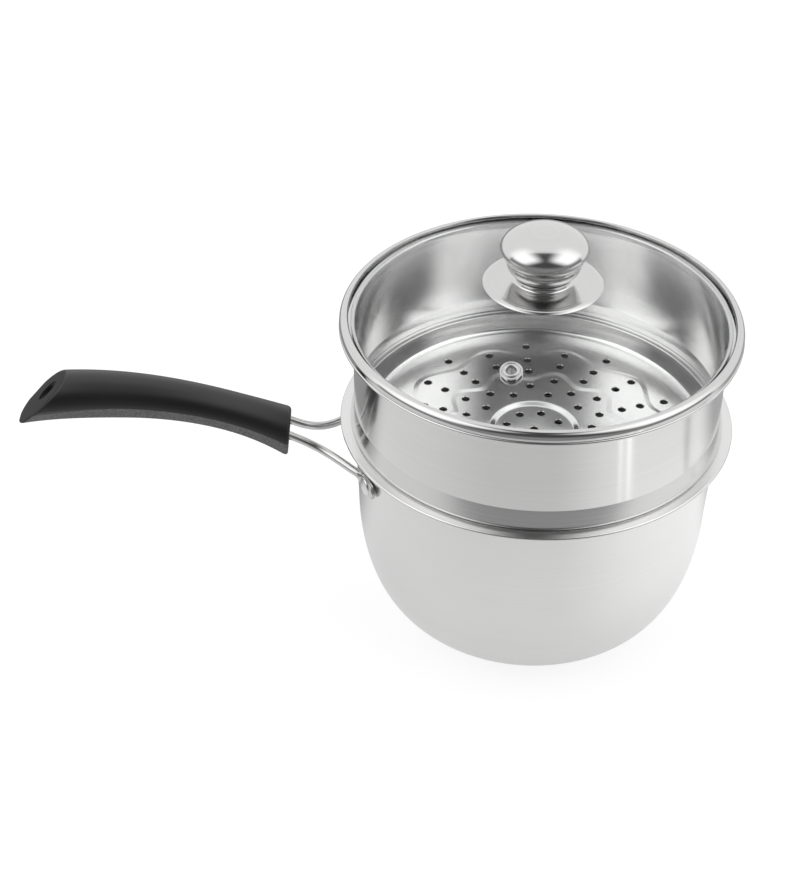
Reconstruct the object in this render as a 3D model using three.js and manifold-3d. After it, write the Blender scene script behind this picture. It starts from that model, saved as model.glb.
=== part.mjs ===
// Two-tier steamer pot: a long-handled pot, a perforated steamer basket and a glass lid.
// Millimetres, +Z up, origin on the table under the middle of the pot, handle along -X.
import * as THREE from 'three';
import { mergeVertices } from 'three/addons/utils/BufferGeometryUtils.js';
import Module from 'manifold-3d';

const wasm = await Module();
wasm.setup();

// Driving dimensions
const CLEAR = 0.3;            // free gap where two pieces fit in each other
const SEAM = 0.1;             // free gap between flat faces that press on each other
const SHEET = 0.8;            // steel sheet of the pot and the basket
const RING_STEPS = 40;        // facets round the large rings
const KNOB_STEPS = 24;        // facets round the knob pieces
const WELD = 1e-4;            // points closer than this are one point

const POT = {
  mouthR: 96.4,               // wall radius at the mouth
  rimH: 119.4,                // top of the flat rim
  rimReach: 7.1,              // flat rim, out from the wall
  taper: 2.0,                 // the mouth is this much wider than the wall over the base curve
  cornerReach: 34.4,          // base curve, across
  cornerH: 70,                // base curve, up
  cornerPower: 2.2,           // fullness of the base curve, 2 is an ellipse
  cornerSteps: 9,
};
const RIM = {
  hemR: 0.9,                  // rolled edge
  bendR: 0.8,                 // bend from wall to rim, on the outside of the sheet
  hemSteps: 5,
  bendSteps: 2,
};
const BASKET = {
  height: 57.8,               // from the pot rim to the basket rim
  wallInset: 0.4,             // wall inside the line of the pot mouth
  rimInset: 0.3,              // rim inside the edge of the pot rim
  bandReach: 2.0,             // foot band on the pot rim, out from the wall
  bandH: 11.1,                // foot band, up to its crease with the wall
  bandToe: 2.0,               // upright foot of the band
  bandFold: 0.4,              // fold under the foot of the band
  plugGap: 1.0,               // plug inside the pot mouth
  plugTaper: 2.4,             // the plug narrows by this much down to the floor curve
  plugBend: 1.0,              // bend from the plug to the pot rim
  depth: 9.6,                 // underside of the floor below the pot rim
  cornerReach: 3.4,           // curve round the floor, across
  cornerRise: 3.2,            // curve round the floor, up
  cornerSteps: 2,
};
const ROSETTE = {
  lobes: 10,
  sway: 3.5,                  // the lobed edges swing this far in and out
  innerR: 47,
  outerR: 70,
  edge: 1.5,                  // half width of each sloping edge
  rise: 1.4,                  // raised lobed ring
  dishR: 21,
  dishEdge: 2.5,
  dishDrop: 1.2,              // sunk middle disc
};
const HOLES = {
  r: 2.0,
  sides: 8,
  ringR: 15,
  ringCount: 8,
  ringTurn: THREE.MathUtils.degToRad(27),
  lobeRows: [30.5, 43.9, 57.4, 68.8],
  valleyRows: [37.4, 50.4, 61.0, 75.0],
};
const BAND = {
  sheet: 0.5,
  rimInset: 0.2,              // wall inside the edge of the basket rim
  height: 5.0,                // crest over the basket rim
  roll: 1.2,                  // radius of the rolled crest
  lipReach: 2.7,              // lip on top of the glass, in from the band's wall
  skirtGap: 0.6,              // skirt inside the basket mouth
  skirtDrop: 4.0,
  round: 0.8,
};
const GLASS = {
  topR: 230,                  // radius of the domed top
  thick: 3.5,
  rimThick: 2.4,              // flat rim held in the band
  rimEase: 0.4,               // rim inside the band's wall
  ledge: 5.07,                // flat rim outside the dome
  boreR: 4.2,                 // hole for the knob screw
  rings: 6,
};
const VENT = {
  inset: 29.1,                // in from the edge of the dome
  turn: THREE.MathUtils.degToRad(-106.25),
  holeR: 2.5,
  barrelR: 4.1,
  flangeR: 5.6,
  flangeH: 0.8,
  flangeRound: 0.4,
  collarH: 1.3,               // rolled collar over the glass
  collarRound: 0.3,
  washerR: 5.6,
  washerThick: 1.0,
  flare: 0.9,
};
const FLANGE = {
  r: 30.4,
  edge: 0.5,                  // rounded rim of the flange
  rimWidth: 1.8,              // flat foot inside the rounded rim
  rimH: 1.1,
  bulge: 2.0,                 // height half way up the slope
  boreR: 3.2,
  seatR: 10.8,
  seatLift: 0.83,             // seat over the top of the glass
  rootReach: 5.4,             // foot of the neck, out from the seat
  rootRise: 0.5,
  neckR: 13.4,
  neckRise: 1.0,              // narrowest part of the neck over the seat
  neckFlare: 0.6,
  flareRise: 1.2,
  collarR: 14.6,
  collarH: 0.3,
  height: 3.5,                // from the seat to the collar's top
};
const CUP = {
  seam: 0.2,                  // seam over the flange
  height: 12.8,
  wall: 1.2,
  footR: 15.0,
  footRound: 0.5,
  flare: 5.6,                 // the mouth is this much wider than the foot
  lipReach: 0.6,
  lipH: 0.4,
  lipRise: 0.6,
};
const CAP = {
  seam: 0.2,                  // seam over the cup
  overhang: 1.3,              // edge outside the cup's lip
  edgeH: 0.5,
  domeH: 10.7,
  wall: 1.2,
  edgeRound: 0.3,
  rings: 6,
};
const POST = { r: 6.0, headroom: 0.6, boreR: 2.7, boreEase: 2.0 };
const SCREW = { r: 2.4, tip: 1.0, reach: 14.0, headR: 4.8, headH: 2.6, headRound: 1.0 };
const WASHER = { r: 9.0, thick: 1.0 };
const GASKET = { r: 12.0, thick: 1.0, padR: 10.5, padThick: 0.6 };

const LUG = {
  turn: THREE.MathUtils.degToRad(23.4),
  drop: 19.4,                 // rivet below the pot rim
  tail: 10,                   // from the rivet towards the grip
  nose: 9,                    // from the rivet to the rounded end
  half: 4.7,
  thick: 2.2,
  ease: 0.1,                  // free gap to the wall
  sides: 8,
};
const RIVET = {
  r: 2.0,
  headR: 4.4,
  headH: 1.9,
  backR: 4.5,
  backH: 1.0,
  backRound: 0.5,
  sides: 16,
  domeSteps: 5,
};
const GRIP = {
  stand: 27.5,                // grip off the edge of the pot rim
  bendReach: 99.7,            // from the pot end to the highest place, along -X
  tailReach: 41.8,            // from the highest place to the far end, along -X
  lift: 31.3,                 // highest place of the crease over the rivets
  bendR: 216,
  half: 13,                   // half width at the crease
  dome: 12,                   // height above the crease
  below: 8.3,                 // depth below the crease
  keelHalf: 9.5,
  keelRound: 2.5,
  potScale: 1.04,
  waistScale: 0.86,
  tipScale: 1.12,
  keelTipScale: 0.96,
  waistPart: 0.25,            // place of the waist, as a part of the length
  over: 6,                    // spare length that the cut at the pot end takes off
  lean: 0.1,                  // slope of the pot end
  steps: 24,
  domeSteps: 12,
  cutReach: 29.0,             // slanted cut, along X
  tipLand: 0.4,               // height of the small end face under the slanted cut
  holeInset: 16.0,            // hanging hole from the far end
  holeR: 4.0,
  holeStretch: 1.2,
  holeSides: 16,
};
const WIRE = {
  r: 2.2,
  spread: 8.0,                // half the gap between the two rods where they leave the grip
  aboveCrease: 1.8,           // wire centre over the widest line of the grip
  hairpin: 61.9,              // depth of the hairpin inside the grip
  bendReach: 9.6,             // bend between lug and grip, out from the pot mouth
  bendSpread: 18.3,
  bendDrop: 1.1,              // bend below the rivets
  tuck: 0.05,                 // wire centre off the lug's middle, so the two are one body
  liftOff: 0.8,
  climb: 0.6,
  sides: 5,
  steps: 60,
};
const THROUGH = 10;           // length of cutters that only have to pass through
const BLOCK = 100;            // size of the blocks that cut the ends of the grip

// Sizes that follow from the driving ones
const potRimR = POT.mouthR + POT.rimReach;
const potCornerR = POT.mouthR - POT.taper;
const potBaseR = potCornerR - POT.cornerReach;
const basketRimH = POT.rimH + BASKET.height;
const basketRimR = potRimR - BASKET.rimInset;
const basketWallR = POT.mouthR - BASKET.wallInset;
const floorZ = POT.rimH - BASKET.depth;
const bandR = basketRimR - BAND.rimInset;
const bandFloor = basketRimH + BAND.sheet;
const glassFoot = bandFloor + CLEAR;
const glassRimTop = glassFoot + GLASS.rimThick;
const glassRimR = bandR - BAND.sheet - GLASS.rimEase;
const glassEdgeR = glassRimR - GLASS.ledge;
const glassCentreZ = glassRimTop - Math.sqrt(GLASS.topR ** 2 - glassEdgeR ** 2);
const glassTopZ = glassCentreZ + GLASS.topR;
const seatZ = glassTopZ + FLANGE.seatLift;
const flangeTopZ = seatZ + FLANGE.height;
const cupFloorZ = flangeTopZ + CUP.seam;
const cupRimZ = cupFloorZ + CUP.height;
const capBottomZ = cupRimZ + CAP.seam;
const capEdgeZ = capBottomZ + CAP.edgeH;
const capTopZ = capEdgeZ + CAP.domeH;
const capEdgeR = CUP.footR + CUP.flare + CUP.lipReach + CAP.overhang;
const lugZ = POT.rimH - LUG.drop;
const gripStartX = -(potRimR + GRIP.stand);
const gripApexX = gripStartX - GRIP.bendReach;
const gripTipX = gripApexX - GRIP.tailReach;
const gripZ = lugZ + GRIP.lift;

// Colours, roughness and metalness as seen in the photo
const FINISH = {
  satin: { color: 0xc9cacb, roughness: 0.34, metalness: 1.0 },
  polished: { color: 0xd4d5d6, roughness: 0.14, metalness: 1.0 },
  knob: { color: 0xcfd0d1, roughness: 0.22, metalness: 1.0 },
  glass: { color: 0xe9eeee, roughness: 0.03, metalness: 0.0, transparent: true, opacity: 0.25 },
  phenolic: { color: 0x232324, roughness: 0.48, metalness: 0.0 },
  silicone: { color: 0xe2e2de, roughness: 0.6, metalness: 0.0 },
};

const group = new THREE.Group();
group.name = 'steamer_pot';

// Closes a surface: welds equal points, drops empty triangles and turns it to face out.
function closed(geometry) {
  const bare = geometry.clone();
  bare.deleteAttribute('normal');
  bare.deleteAttribute('uv');
  const welded = mergeVertices(bare, WELD);
  const at = welded.getAttribute('position');
  const index = welded.getIndex().array;
  const corner = (i) => new THREE.Vector3().fromBufferAttribute(at, i);
  let volume = 0;
  let triangles = [];
  for (let i = 0; i < index.length; i += 3) {
    const [a, b, c] = [index[i], index[i + 1], index[i + 2]];
    if (a !== b && b !== c && a !== c) {
      triangles.push([a, b, c]);
      volume += corner(a).dot(corner(b).cross(corner(c)));
    }
  }
  if (volume < 0) {
    triangles = triangles.map(([a, b, c]) => [a, c, b]);
  }
  welded.setIndex(triangles.flat());
  return welded;
}

function toSolid(geometry) {
  const shell = closed(geometry);
  return new wasm.Manifold(new wasm.Mesh({
    numProp: 3,
    vertProperties: new Float32Array(shell.getAttribute('position').array),
    triVerts: new Uint32Array(shell.getIndex().array),
  }));
}

function toGeometry(solid) {
  const mesh = solid.getMesh();
  const geometry = new THREE.BufferGeometry();
  geometry.setAttribute('position', new THREE.BufferAttribute(mesh.vertProperties, 3));
  geometry.setIndex(new THREE.BufferAttribute(mesh.triVerts, 1));
  return geometry;
}

function cut(geometry, cutters) {
  let solid = toSolid(geometry);
  for (const cutter of cutters) {
    solid = solid.subtract(toSolid(cutter));
  }
  return toGeometry(solid);
}

// Turns an outline of [radius, height] points round the Z axis.
function spin(outline, steps) {
  const points = outline.map(([r, z]) => new THREE.Vector2(r, z));
  return new THREE.LatheGeometry(points, steps).rotateX(Math.PI / 2);
}

// Turns an outline that does not reach the axis, closing it on itself.
function spinRing(outline, steps) {
  return spin([...outline, outline[0]], steps);
}

// Points of an arc from one angle to another, in degrees, both ends included.
function arc(r, z, radius, from, to, count) {
  return Array.from({ length: count + 1 }, (unused, i) => {
    const angle = THREE.MathUtils.degToRad(from + (to - from) * i / count);
    return [r + radius * Math.cos(angle), z + radius * Math.sin(angle)];
  });
}

function cylinderZ(r, from, to, sides) {
  return new THREE.CylinderGeometry(r, r, to - from, sides)
    .rotateX(Math.PI / 2)
    .translate(0, 0, (from + to) / 2);
}

function place(name, geometry, finish, parent = group) {
  const mesh = new THREE.Mesh(closed(geometry), new THREE.MeshStandardMaterial(finish));
  mesh.name = name;
  parent.add(mesh);
  return mesh;
}

// Wall bent out to a flat rim with a rolled edge: outer side going up, then the top going in.
function rimOutline(wallR, rimR, rimH) {
  const under = rimH - SHEET;
  const hem = [rimR - RIM.hemR, rimH - RIM.hemR];
  const outside = arc(wallR + RIM.bendR, under - RIM.bendR, RIM.bendR, 180, 90, RIM.bendSteps);
  const roll = arc(hem[0], hem[1], RIM.hemR, 190, 450, RIM.hemSteps);
  const inside = arc(wallR + RIM.bendR, under - RIM.bendR, RIM.bendR + SHEET, 90, 180, RIM.bendSteps);
  return [...outside, ...roll, ...inside];
}

// Points of a curve that leaves the flat at [r, z] and turns up into a wall.
function turnUp(r, z, reach, rise, power, count) {
  return Array.from({ length: count + 1 }, (unused, i) => {
    const angle = (Math.PI / 2) * i / count;
    const across = Math.sin(angle) ** (2 / power);
    const up = 1 - Math.cos(angle) ** (2 / power);
    return [r + reach * across, z + rise * up];
  });
}

// Pot body
function potCorner(inset) {
  const reach = POT.cornerReach - inset;
  const rise = POT.cornerH - inset;
  return turnUp(potBaseR, inset, reach, rise, POT.cornerPower, POT.cornerSteps);
}

function potWallR(z) {
  return potCornerR + (POT.mouthR - potCornerR) * (z - POT.cornerH) / (POT.rimH - POT.cornerH);
}

function lugFrame(side) {
  const angle = Math.PI + side * LUG.turn;
  const out = new THREE.Vector3(Math.cos(angle), Math.sin(angle), 0);
  const along = new THREE.Vector3(-side * Math.sin(angle), side * Math.cos(angle), 0);
  return { out, along, seat: potWallR(lugZ + LUG.half) + LUG.ease };
}

// Matrix that lays a shape drawn in X (along the wall), Y (up) and Z (out of the wall) on a lug.
function lugMatrix(side, offset) {
  const { out, along } = lugFrame(side);
  const up = new THREE.Vector3(0, 0, 1);
  const across = side > 0 ? along : along.clone().negate();
  const matrix = new THREE.Matrix4().makeBasis(across, up, out);
  return matrix.setPosition(out.clone().multiplyScalar(offset).setZ(lugZ));
}

const potOutline = [
  [0, 0],
  ...potCorner(0),
  ...rimOutline(POT.mouthR, potRimR, POT.rimH),
  ...potCorner(SHEET).reverse(),
  [0, SHEET],
];
const SIDE = { front: 1, rear: -1 };
const rivetBores = Object.values(SIDE).map((side) => (
  cylinderZ(RIVET.r + CLEAR, -THROUGH / 2, THROUGH / 2, RIVET.sides)
    .applyMatrix4(lugMatrix(side, lugFrame(side).seat))));
place('pot_body', cut(spin(potOutline, RING_STEPS), rivetBores), FINISH.satin);

// Handle wire: one hairpin whose flattened ends lie on the pot wall
function gripPath(s) {
  const sweep = Math.asin(GRIP.bendReach / GRIP.bendR);
  const turn = sweep - s / GRIP.bendR;
  return {
    x: gripApexX + GRIP.bendR * Math.sin(turn),
    z: gripZ - GRIP.bendR * (1 - Math.cos(turn)),
    turn,
  };
}
const gripLength = GRIP.bendR * (
  Math.asin(GRIP.bendReach / GRIP.bendR) + Math.asin(GRIP.tailReach / GRIP.bendR));

function wireInGrip(s, y) {
  const { x, z, turn } = gripPath(s);
  return new THREE.Vector3(
    x + WIRE.aboveCrease * Math.sin(turn), y, z + WIRE.aboveCrease * Math.cos(turn));
}

function wireHalf(side) {
  const { out, along, seat } = lugFrame(side);
  const lugPoint = (back, lift, drop) => out.clone()
    .multiplyScalar(seat + WIRE.r + lift)
    .addScaledVector(along, back)
    .setZ(lugZ + drop);
  const inGrip = [0, 0.33, 0.66, 0.95].map((part) => (
    wireInGrip(WIRE.hairpin * part, -side * WIRE.spread)));
  return [
    lugPoint(-LUG.tail / 2, WIRE.tuck, 0),
    lugPoint(-LUG.tail + WIRE.climb, WIRE.liftOff, WIRE.climb),
    new THREE.Vector3(-POT.mouthR - WIRE.bendReach, -side * WIRE.bendSpread, lugZ - WIRE.bendDrop),
    ...inGrip,
  ];
}

function wireTube(radius) {
  const front = wireHalf(SIDE.front);
  const rear = wireHalf(SIDE.rear).reverse();
  const turn = wireInGrip(WIRE.hairpin + WIRE.spread, 0);
  const path = new THREE.CatmullRomCurve3([...front, turn, ...rear]);
  const circle = new THREE.Shape().absarc(0, 0, radius, 0, 2 * Math.PI);
  return new THREE.ExtrudeGeometry(circle, {
    extrudePath: path,
    steps: WIRE.steps,
    curveSegments: WIRE.sides,
  });
}

function lugPlate(side) {
  const shape = new THREE.Shape()
    .moveTo(-LUG.tail, -WIRE.r)
    .lineTo(0, -LUG.half)
    .lineTo(LUG.nose - LUG.half, -LUG.half)
    .absarc(LUG.nose - LUG.half, 0, LUG.half, -Math.PI / 2, Math.PI / 2)
    .lineTo(0, LUG.half)
    .lineTo(-LUG.tail, WIRE.r);
  const plate = new THREE.ExtrudeGeometry(shape, {
    depth: LUG.thick,
    bevelEnabled: false,
    curveSegments: LUG.sides,
  });
  const mirror = new THREE.Matrix4().makeScale(side, 1, 1);
  const bore = cylinderZ(RIVET.r + CLEAR, -LUG.thick, 2 * LUG.thick, RIVET.sides);
  const drilled = cut(plate, [bore]).applyMatrix4(mirror);
  return toSolid(drilled.applyMatrix4(lugMatrix(side, lugFrame(side).seat)));
}

const wire = toSolid(wireTube(WIRE.r)).add(lugPlate(SIDE.front)).add(lugPlate(SIDE.rear));
place('handle_wire', toGeometry(wire), FINISH.polished);

// Rivets: domed head outside the lug, flat head inside the pot
function rivet(side) {
  const { seat } = lugFrame(side);
  const headFoot = LUG.thick;
  const backFace = potWallR(lugZ - LUG.half) - SHEET - CLEAR - LUG.ease - seat;
  const dome = arc(0, 0, 1, 90, 0, RIVET.domeSteps)
    .map(([r, z]) => [r * RIVET.headR, headFoot + z * RIVET.headH]);
  const outline = [
    ...dome,
    [RIVET.r, headFoot],
    [RIVET.r, backFace],
    [RIVET.backR, backFace],
    [RIVET.backR, backFace - RIVET.backH + RIVET.backRound],
    [RIVET.backR - RIVET.backRound, backFace - RIVET.backH],
    [0, backFace - RIVET.backH],
  ];
  return spin(outline, RIVET.sides).applyMatrix4(lugMatrix(side, seat));
}
place('rivet_front', rivet(SIDE.front), FINISH.polished);
place('rivet_rear', rivet(SIDE.rear), FINISH.polished);

// Grip: domed section with a crease along each side, bent down towards the pot
function gripSection() {
  const crease = new THREE.Vector2(GRIP.half, 0);
  const keel = new THREE.Vector2(GRIP.keelHalf, -GRIP.below);
  const side = keel.clone().lerp(crease, GRIP.keelRound / keel.distanceTo(crease));
  const flat = GRIP.keelHalf - GRIP.keelRound;
  return new THREE.Shape()
    .moveTo(crease.x, crease.y)
    .absellipse(0, 0, GRIP.half, GRIP.dome, 0, Math.PI)
    .lineTo(-side.x, side.y)
    .quadraticCurveTo(-keel.x, keel.y, -flat, keel.y)
    .lineTo(flat, keel.y)
    .quadraticCurveTo(keel.x, keel.y, side.x, side.y);
}

// Scale of the section at a part of the length, with the narrow waist near the pot.
function gripScale(part, tipScale) {
  if (part < GRIP.waistPart) {
    return GRIP.waistScale + (GRIP.potScale - GRIP.waistScale) * (1 - part / GRIP.waistPart) ** 2;
  }
  return GRIP.waistScale
    + (tipScale - GRIP.waistScale) * THREE.MathUtils.smoothstep(part, GRIP.waistPart, 1);
}

function bentGrip() {
  const bar = new THREE.ExtrudeGeometry(gripSection(), {
    depth: gripLength + GRIP.over,
    steps: GRIP.steps,
    curveSegments: GRIP.domeSteps,
    bevelEnabled: false,
  });
  const at = bar.getAttribute('position');
  for (let i = 0; i < at.count; i += 1) {
    const s = at.getZ(i) - GRIP.over;
    const { x, z, turn } = gripPath(s);
    const part = Math.max(s, 0) / gripLength;
    const down = Math.max(-at.getY(i) / GRIP.below, 0);
    const scale = THREE.MathUtils.lerp(
      gripScale(part, GRIP.tipScale), gripScale(part, GRIP.keelTipScale), down);
    const lift = at.getY(i) * scale;
    at.setXYZ(i, x + lift * Math.sin(turn), at.getX(i) * scale, z + lift * Math.cos(turn));
  }
  return bar;
}

function potEndCut() {
  const { x, z } = gripPath(0);
  return new THREE.BoxGeometry(BLOCK, BLOCK, BLOCK)
    .translate(BLOCK / 2, 0, 0)
    .rotateY(Math.atan(GRIP.lean))
    .translate(x, 0, z);
}

function slantedCut() {
  const tip = gripPath(gripLength);
  const low = new THREE.Vector2(tip.x, tip.z - GRIP.below * GRIP.keelTipScale + GRIP.tipLand);
  const high = new THREE.Vector2(tip.x + GRIP.cutReach, gripZ + GRIP.dome * GRIP.tipScale);
  const slope = high.clone().sub(low).angle();
  const middle = low.clone().add(high).multiplyScalar(0.5);
  return new THREE.BoxGeometry(BLOCK, BLOCK, BLOCK)
    .translate(0, 0, BLOCK / 2)
    .rotateY(-slope)
    .translate(middle.x, 0, middle.y);
}

const holeFoot = gripZ - GRIP.below - THROUGH;
const holeTop = gripZ + GRIP.dome + THROUGH;
const hangingHole = cylinderZ(GRIP.holeR, holeFoot, holeTop, GRIP.holeSides)
  .scale(GRIP.holeStretch, 1, 1)
  .translate(gripTipX + GRIP.holeInset, 0, 0);
const gripCutters = [potEndCut(), slantedCut(), hangingHole, wireTube(WIRE.r + CLEAR)];
place('grip', cut(bentGrip(), gripCutters), FINISH.phenolic);

// Steamer basket: plug, foot band, wall and rim in one sheet, floor pressed and pierced
function floorTrack(lift) {
  const z = floorZ + lift;
  const high = z + ROSETTE.rise;
  const low = z - ROSETTE.dishDrop;
  return [
    [0, low],
    [ROSETTE.dishR, low],
    [ROSETTE.dishR + ROSETTE.dishEdge, z],
    [ROSETTE.innerR - ROSETTE.edge, z],
    [ROSETTE.innerR + ROSETTE.edge, high],
    [ROSETTE.outerR - ROSETTE.edge, high],
    [ROSETTE.outerR + ROSETTE.edge, z],
  ];
}

// Plug, foot band and wall from the floor up, one side of the sheet; inset 0 is the outside.
function basketSide(inset) {
  const plugTopR = POT.mouthR - SHEET - BASKET.plugGap - inset;
  const plugFootR = plugTopR - BASKET.plugTaper;
  const corner = turnUp(plugFootR - BASKET.cornerReach, floorZ + inset,
    BASKET.cornerReach, BASKET.cornerRise, 2, BASKET.cornerSteps);
  const toeR = basketWallR + BASKET.bandReach - inset;
  const foot = POT.rimH + inset;
  return [
    ...corner,
    [plugTopR, foot - BASKET.plugBend],
    [plugTopR + BASKET.plugBend, foot],
    [toeR - BASKET.bandFold, foot],
    [toeR, foot + BASKET.bandFold],
    [toeR, POT.rimH + BASKET.bandToe],
    [basketWallR - inset, POT.rimH + BASKET.bandH],
  ];
}

function basketOutline() {
  return [
    ...floorTrack(0),
    ...basketSide(0),
    ...rimOutline(basketWallR, basketRimR, basketRimH),
    ...basketSide(SHEET).reverse(),
    ...floorTrack(SHEET).reverse(),
  ];
}

// Swings the two lobed edges of the floor in and out round the ring.
function swayLobes(geometry) {
  const at = geometry.getAttribute('position');
  const from = (ROSETTE.dishR + ROSETTE.innerR) / 2;
  const to = ROSETTE.outerR + ROSETTE.edge + SHEET;
  for (let i = 0; i < at.count; i += 1) {
    const r = Math.hypot(at.getX(i), at.getY(i));
    if (r > from && r < to) {
      const angle = Math.atan2(at.getY(i), at.getX(i));
      const scale = 1 + ROSETTE.sway * Math.cos(ROSETTE.lobes * angle) / r;
      at.setXY(i, at.getX(i) * scale, at.getY(i) * scale);
    }
  }
  return geometry;
}

function floorHole(r, angle) {
  return cylinderZ(HOLES.r, floorZ - THROUGH / 2, floorZ + THROUGH / 2, HOLES.sides)
    .translate(r * Math.cos(angle), r * Math.sin(angle), 0);
}

function floorHoles() {
  const holes = [floorHole(0, 0)];
  for (let i = 0; i < HOLES.ringCount; i += 1) {
    holes.push(floorHole(HOLES.ringR, HOLES.ringTurn + 2 * Math.PI * i / HOLES.ringCount));
  }
  for (let i = 0; i < ROSETTE.lobes; i += 1) {
    const lobe = 2 * Math.PI * i / ROSETTE.lobes;
    const valley = lobe + Math.PI / ROSETTE.lobes;
    holes.push(...HOLES.lobeRows.map((r) => floorHole(r, lobe)));
    holes.push(...HOLES.valleyRows.map((r) => floorHole(r, valley)));
  }
  return holes;
}
place('steamer_basket', cut(swayLobes(spin(basketOutline(), RING_STEPS)), floorHoles()), FINISH.polished);

// Lid glass
function domeZ(r, inset) {
  return glassCentreZ + Math.sqrt((GLASS.topR - inset) ** 2 - r ** 2);
}

function domeRow(inset, edgeR) {
  return Array.from({ length: GLASS.rings + 1 }, (unused, i) => {
    const r = GLASS.boreR + (edgeR - GLASS.boreR) * i / GLASS.rings;
    return [r, domeZ(r, inset)];
  });
}

const glassFootR = Math.sqrt((GLASS.topR - GLASS.thick) ** 2 - (glassFoot - glassCentreZ) ** 2);
const glassOutline = [
  ...domeRow(GLASS.thick, glassFootR),
  [glassRimR, glassFoot],
  [glassRimR, glassRimTop],
  ...domeRow(0, glassEdgeR).reverse(),
];
const ventFrame = new THREE.Group();
const ventR = glassEdgeR - VENT.inset;
const ventPlace = new THREE.Vector3(ventR, 0, domeZ(ventR, 0))
  .applyAxisAngle(new THREE.Vector3(0, 0, 1), VENT.turn);
const ventNormal = ventPlace.clone().setZ(ventPlace.z - glassCentreZ).normalize();
ventFrame.name = 'vent';
ventFrame.position.copy(ventPlace);
ventFrame.quaternion.setFromUnitVectors(new THREE.Vector3(0, 0, 1), ventNormal);
ventFrame.updateMatrix();
const ventBore = cylinderZ(VENT.barrelR + CLEAR, -THROUGH, THROUGH, KNOB_STEPS)
  .applyMatrix4(ventFrame.matrix);
place('lid_glass', cut(spinRing(glassOutline, RING_STEPS), [ventBore]), FINISH.glass);

// Steel band round the glass: lip on top, wall, leg under the glass and a locating skirt
function bandOutline() {
  const rollR = bandR - BAND.roll;
  const rollZ = basketRimH + BAND.height - BAND.roll;
  const lipR = bandR - BAND.lipReach;
  const lipZ = glassRimTop + CLEAR;
  const toeR = bandR - BAND.round;
  const toeZ = basketRimH + BAND.round;
  const skirtR = basketWallR - SHEET - BAND.skirtGap;
  const bendR = skirtR + BAND.round;
  const bendZ = basketRimH - BAND.round;
  const skirtFoot = basketRimH - BAND.skirtDrop;
  return [
    [lipR, lipZ + BAND.sheet],
    ...arc(rollR, rollZ, BAND.roll, 130, 0, 3),
    ...arc(toeR, toeZ, BAND.round, 0, -90, 2),
    ...arc(bendR, bendZ, BAND.round, 90, 180, 2),
    [skirtR, skirtFoot],
    [skirtR - BAND.sheet, skirtFoot],
    ...arc(bendR, bendZ, BAND.round + BAND.sheet, 180, 90, 2),
    ...arc(toeR, toeZ, BAND.round - BAND.sheet, -90, 0, 2),
    ...arc(rollR, rollZ, BAND.roll - BAND.sheet, 0, 130, 3),
    [lipR, lipZ],
  ];
}
place('lid_band', spinRing(bandOutline(), RING_STEPS), FINISH.polished);

// Steam vent: eyelet clenched over a washer under the glass
group.add(ventFrame);
const washerTop = -GLASS.thick - CLEAR;
const washerFoot = washerTop - VENT.washerThick;
const eyeletOutline = [
  [VENT.holeR, washerFoot - VENT.flare],
  [VENT.barrelR + VENT.flare, washerFoot - VENT.flare],
  [VENT.barrelR + VENT.flare, washerFoot - VENT.flare / 2],
  [VENT.barrelR, washerFoot],
  [VENT.barrelR, CLEAR / 2],
  [VENT.flangeR, CLEAR / 2],
  [VENT.flangeR, VENT.flangeH - VENT.flangeRound],
  [VENT.flangeR - VENT.flangeRound, VENT.flangeH],
  [VENT.barrelR, VENT.flangeH],
  [VENT.barrelR, VENT.collarH - VENT.collarRound],
  [VENT.barrelR - VENT.collarRound, VENT.collarH],
  [VENT.holeR + VENT.collarRound, VENT.collarH],
  [VENT.holeR, VENT.collarH - VENT.collarRound],
];
place('vent_eyelet', spinRing(eyeletOutline, KNOB_STEPS), FINISH.polished, ventFrame);

function washer(innerR, outerR, from, to, steps) {
  return spinRing([[innerR, from], [outerR, from], [outerR, to], [innerR, to]], steps);
}
place('vent_washer', washer(VENT.barrelR + CLEAR, VENT.washerR, washerFoot, washerTop, KNOB_STEPS),
  FINISH.polished, ventFrame);

// Knob fixing under and over the glass
const gasketTop = domeZ(GASKET.r, GLASS.thick) - CLEAR / 2;
const gasketFoot = gasketTop - GASKET.thick;
const washerZ = gasketFoot - WASHER.thick;
const padTop = seatZ - SEAM;
place('knob_gasket_lower', washer(SCREW.r + CLEAR, GASKET.r, gasketFoot, gasketTop, KNOB_STEPS),
  FINISH.silicone);
place('knob_washer', washer(SCREW.r + CLEAR, WASHER.r, washerZ, gasketFoot, KNOB_STEPS), FINISH.polished);
place('knob_gasket_upper',
  washer(FLANGE.boreR, GASKET.padR, padTop - GASKET.padThick, padTop, KNOB_STEPS), FINISH.silicone);

const screwTop = cupFloorZ + CUP.wall + SCREW.reach;
const screwOutline = [
  [0, washerZ - SCREW.headH],
  [SCREW.headR - SCREW.headRound, washerZ - SCREW.headH],
  [SCREW.headR, washerZ - SCREW.headH + SCREW.headRound],
  [SCREW.headR, washerZ],
  [SCREW.r, washerZ],
  [SCREW.r, screwTop - SCREW.tip],
  [SCREW.r - SCREW.tip, screwTop],
  [0, screwTop],
];
place('knob_screw', spin(screwOutline, KNOB_STEPS), FINISH.polished);

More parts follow.
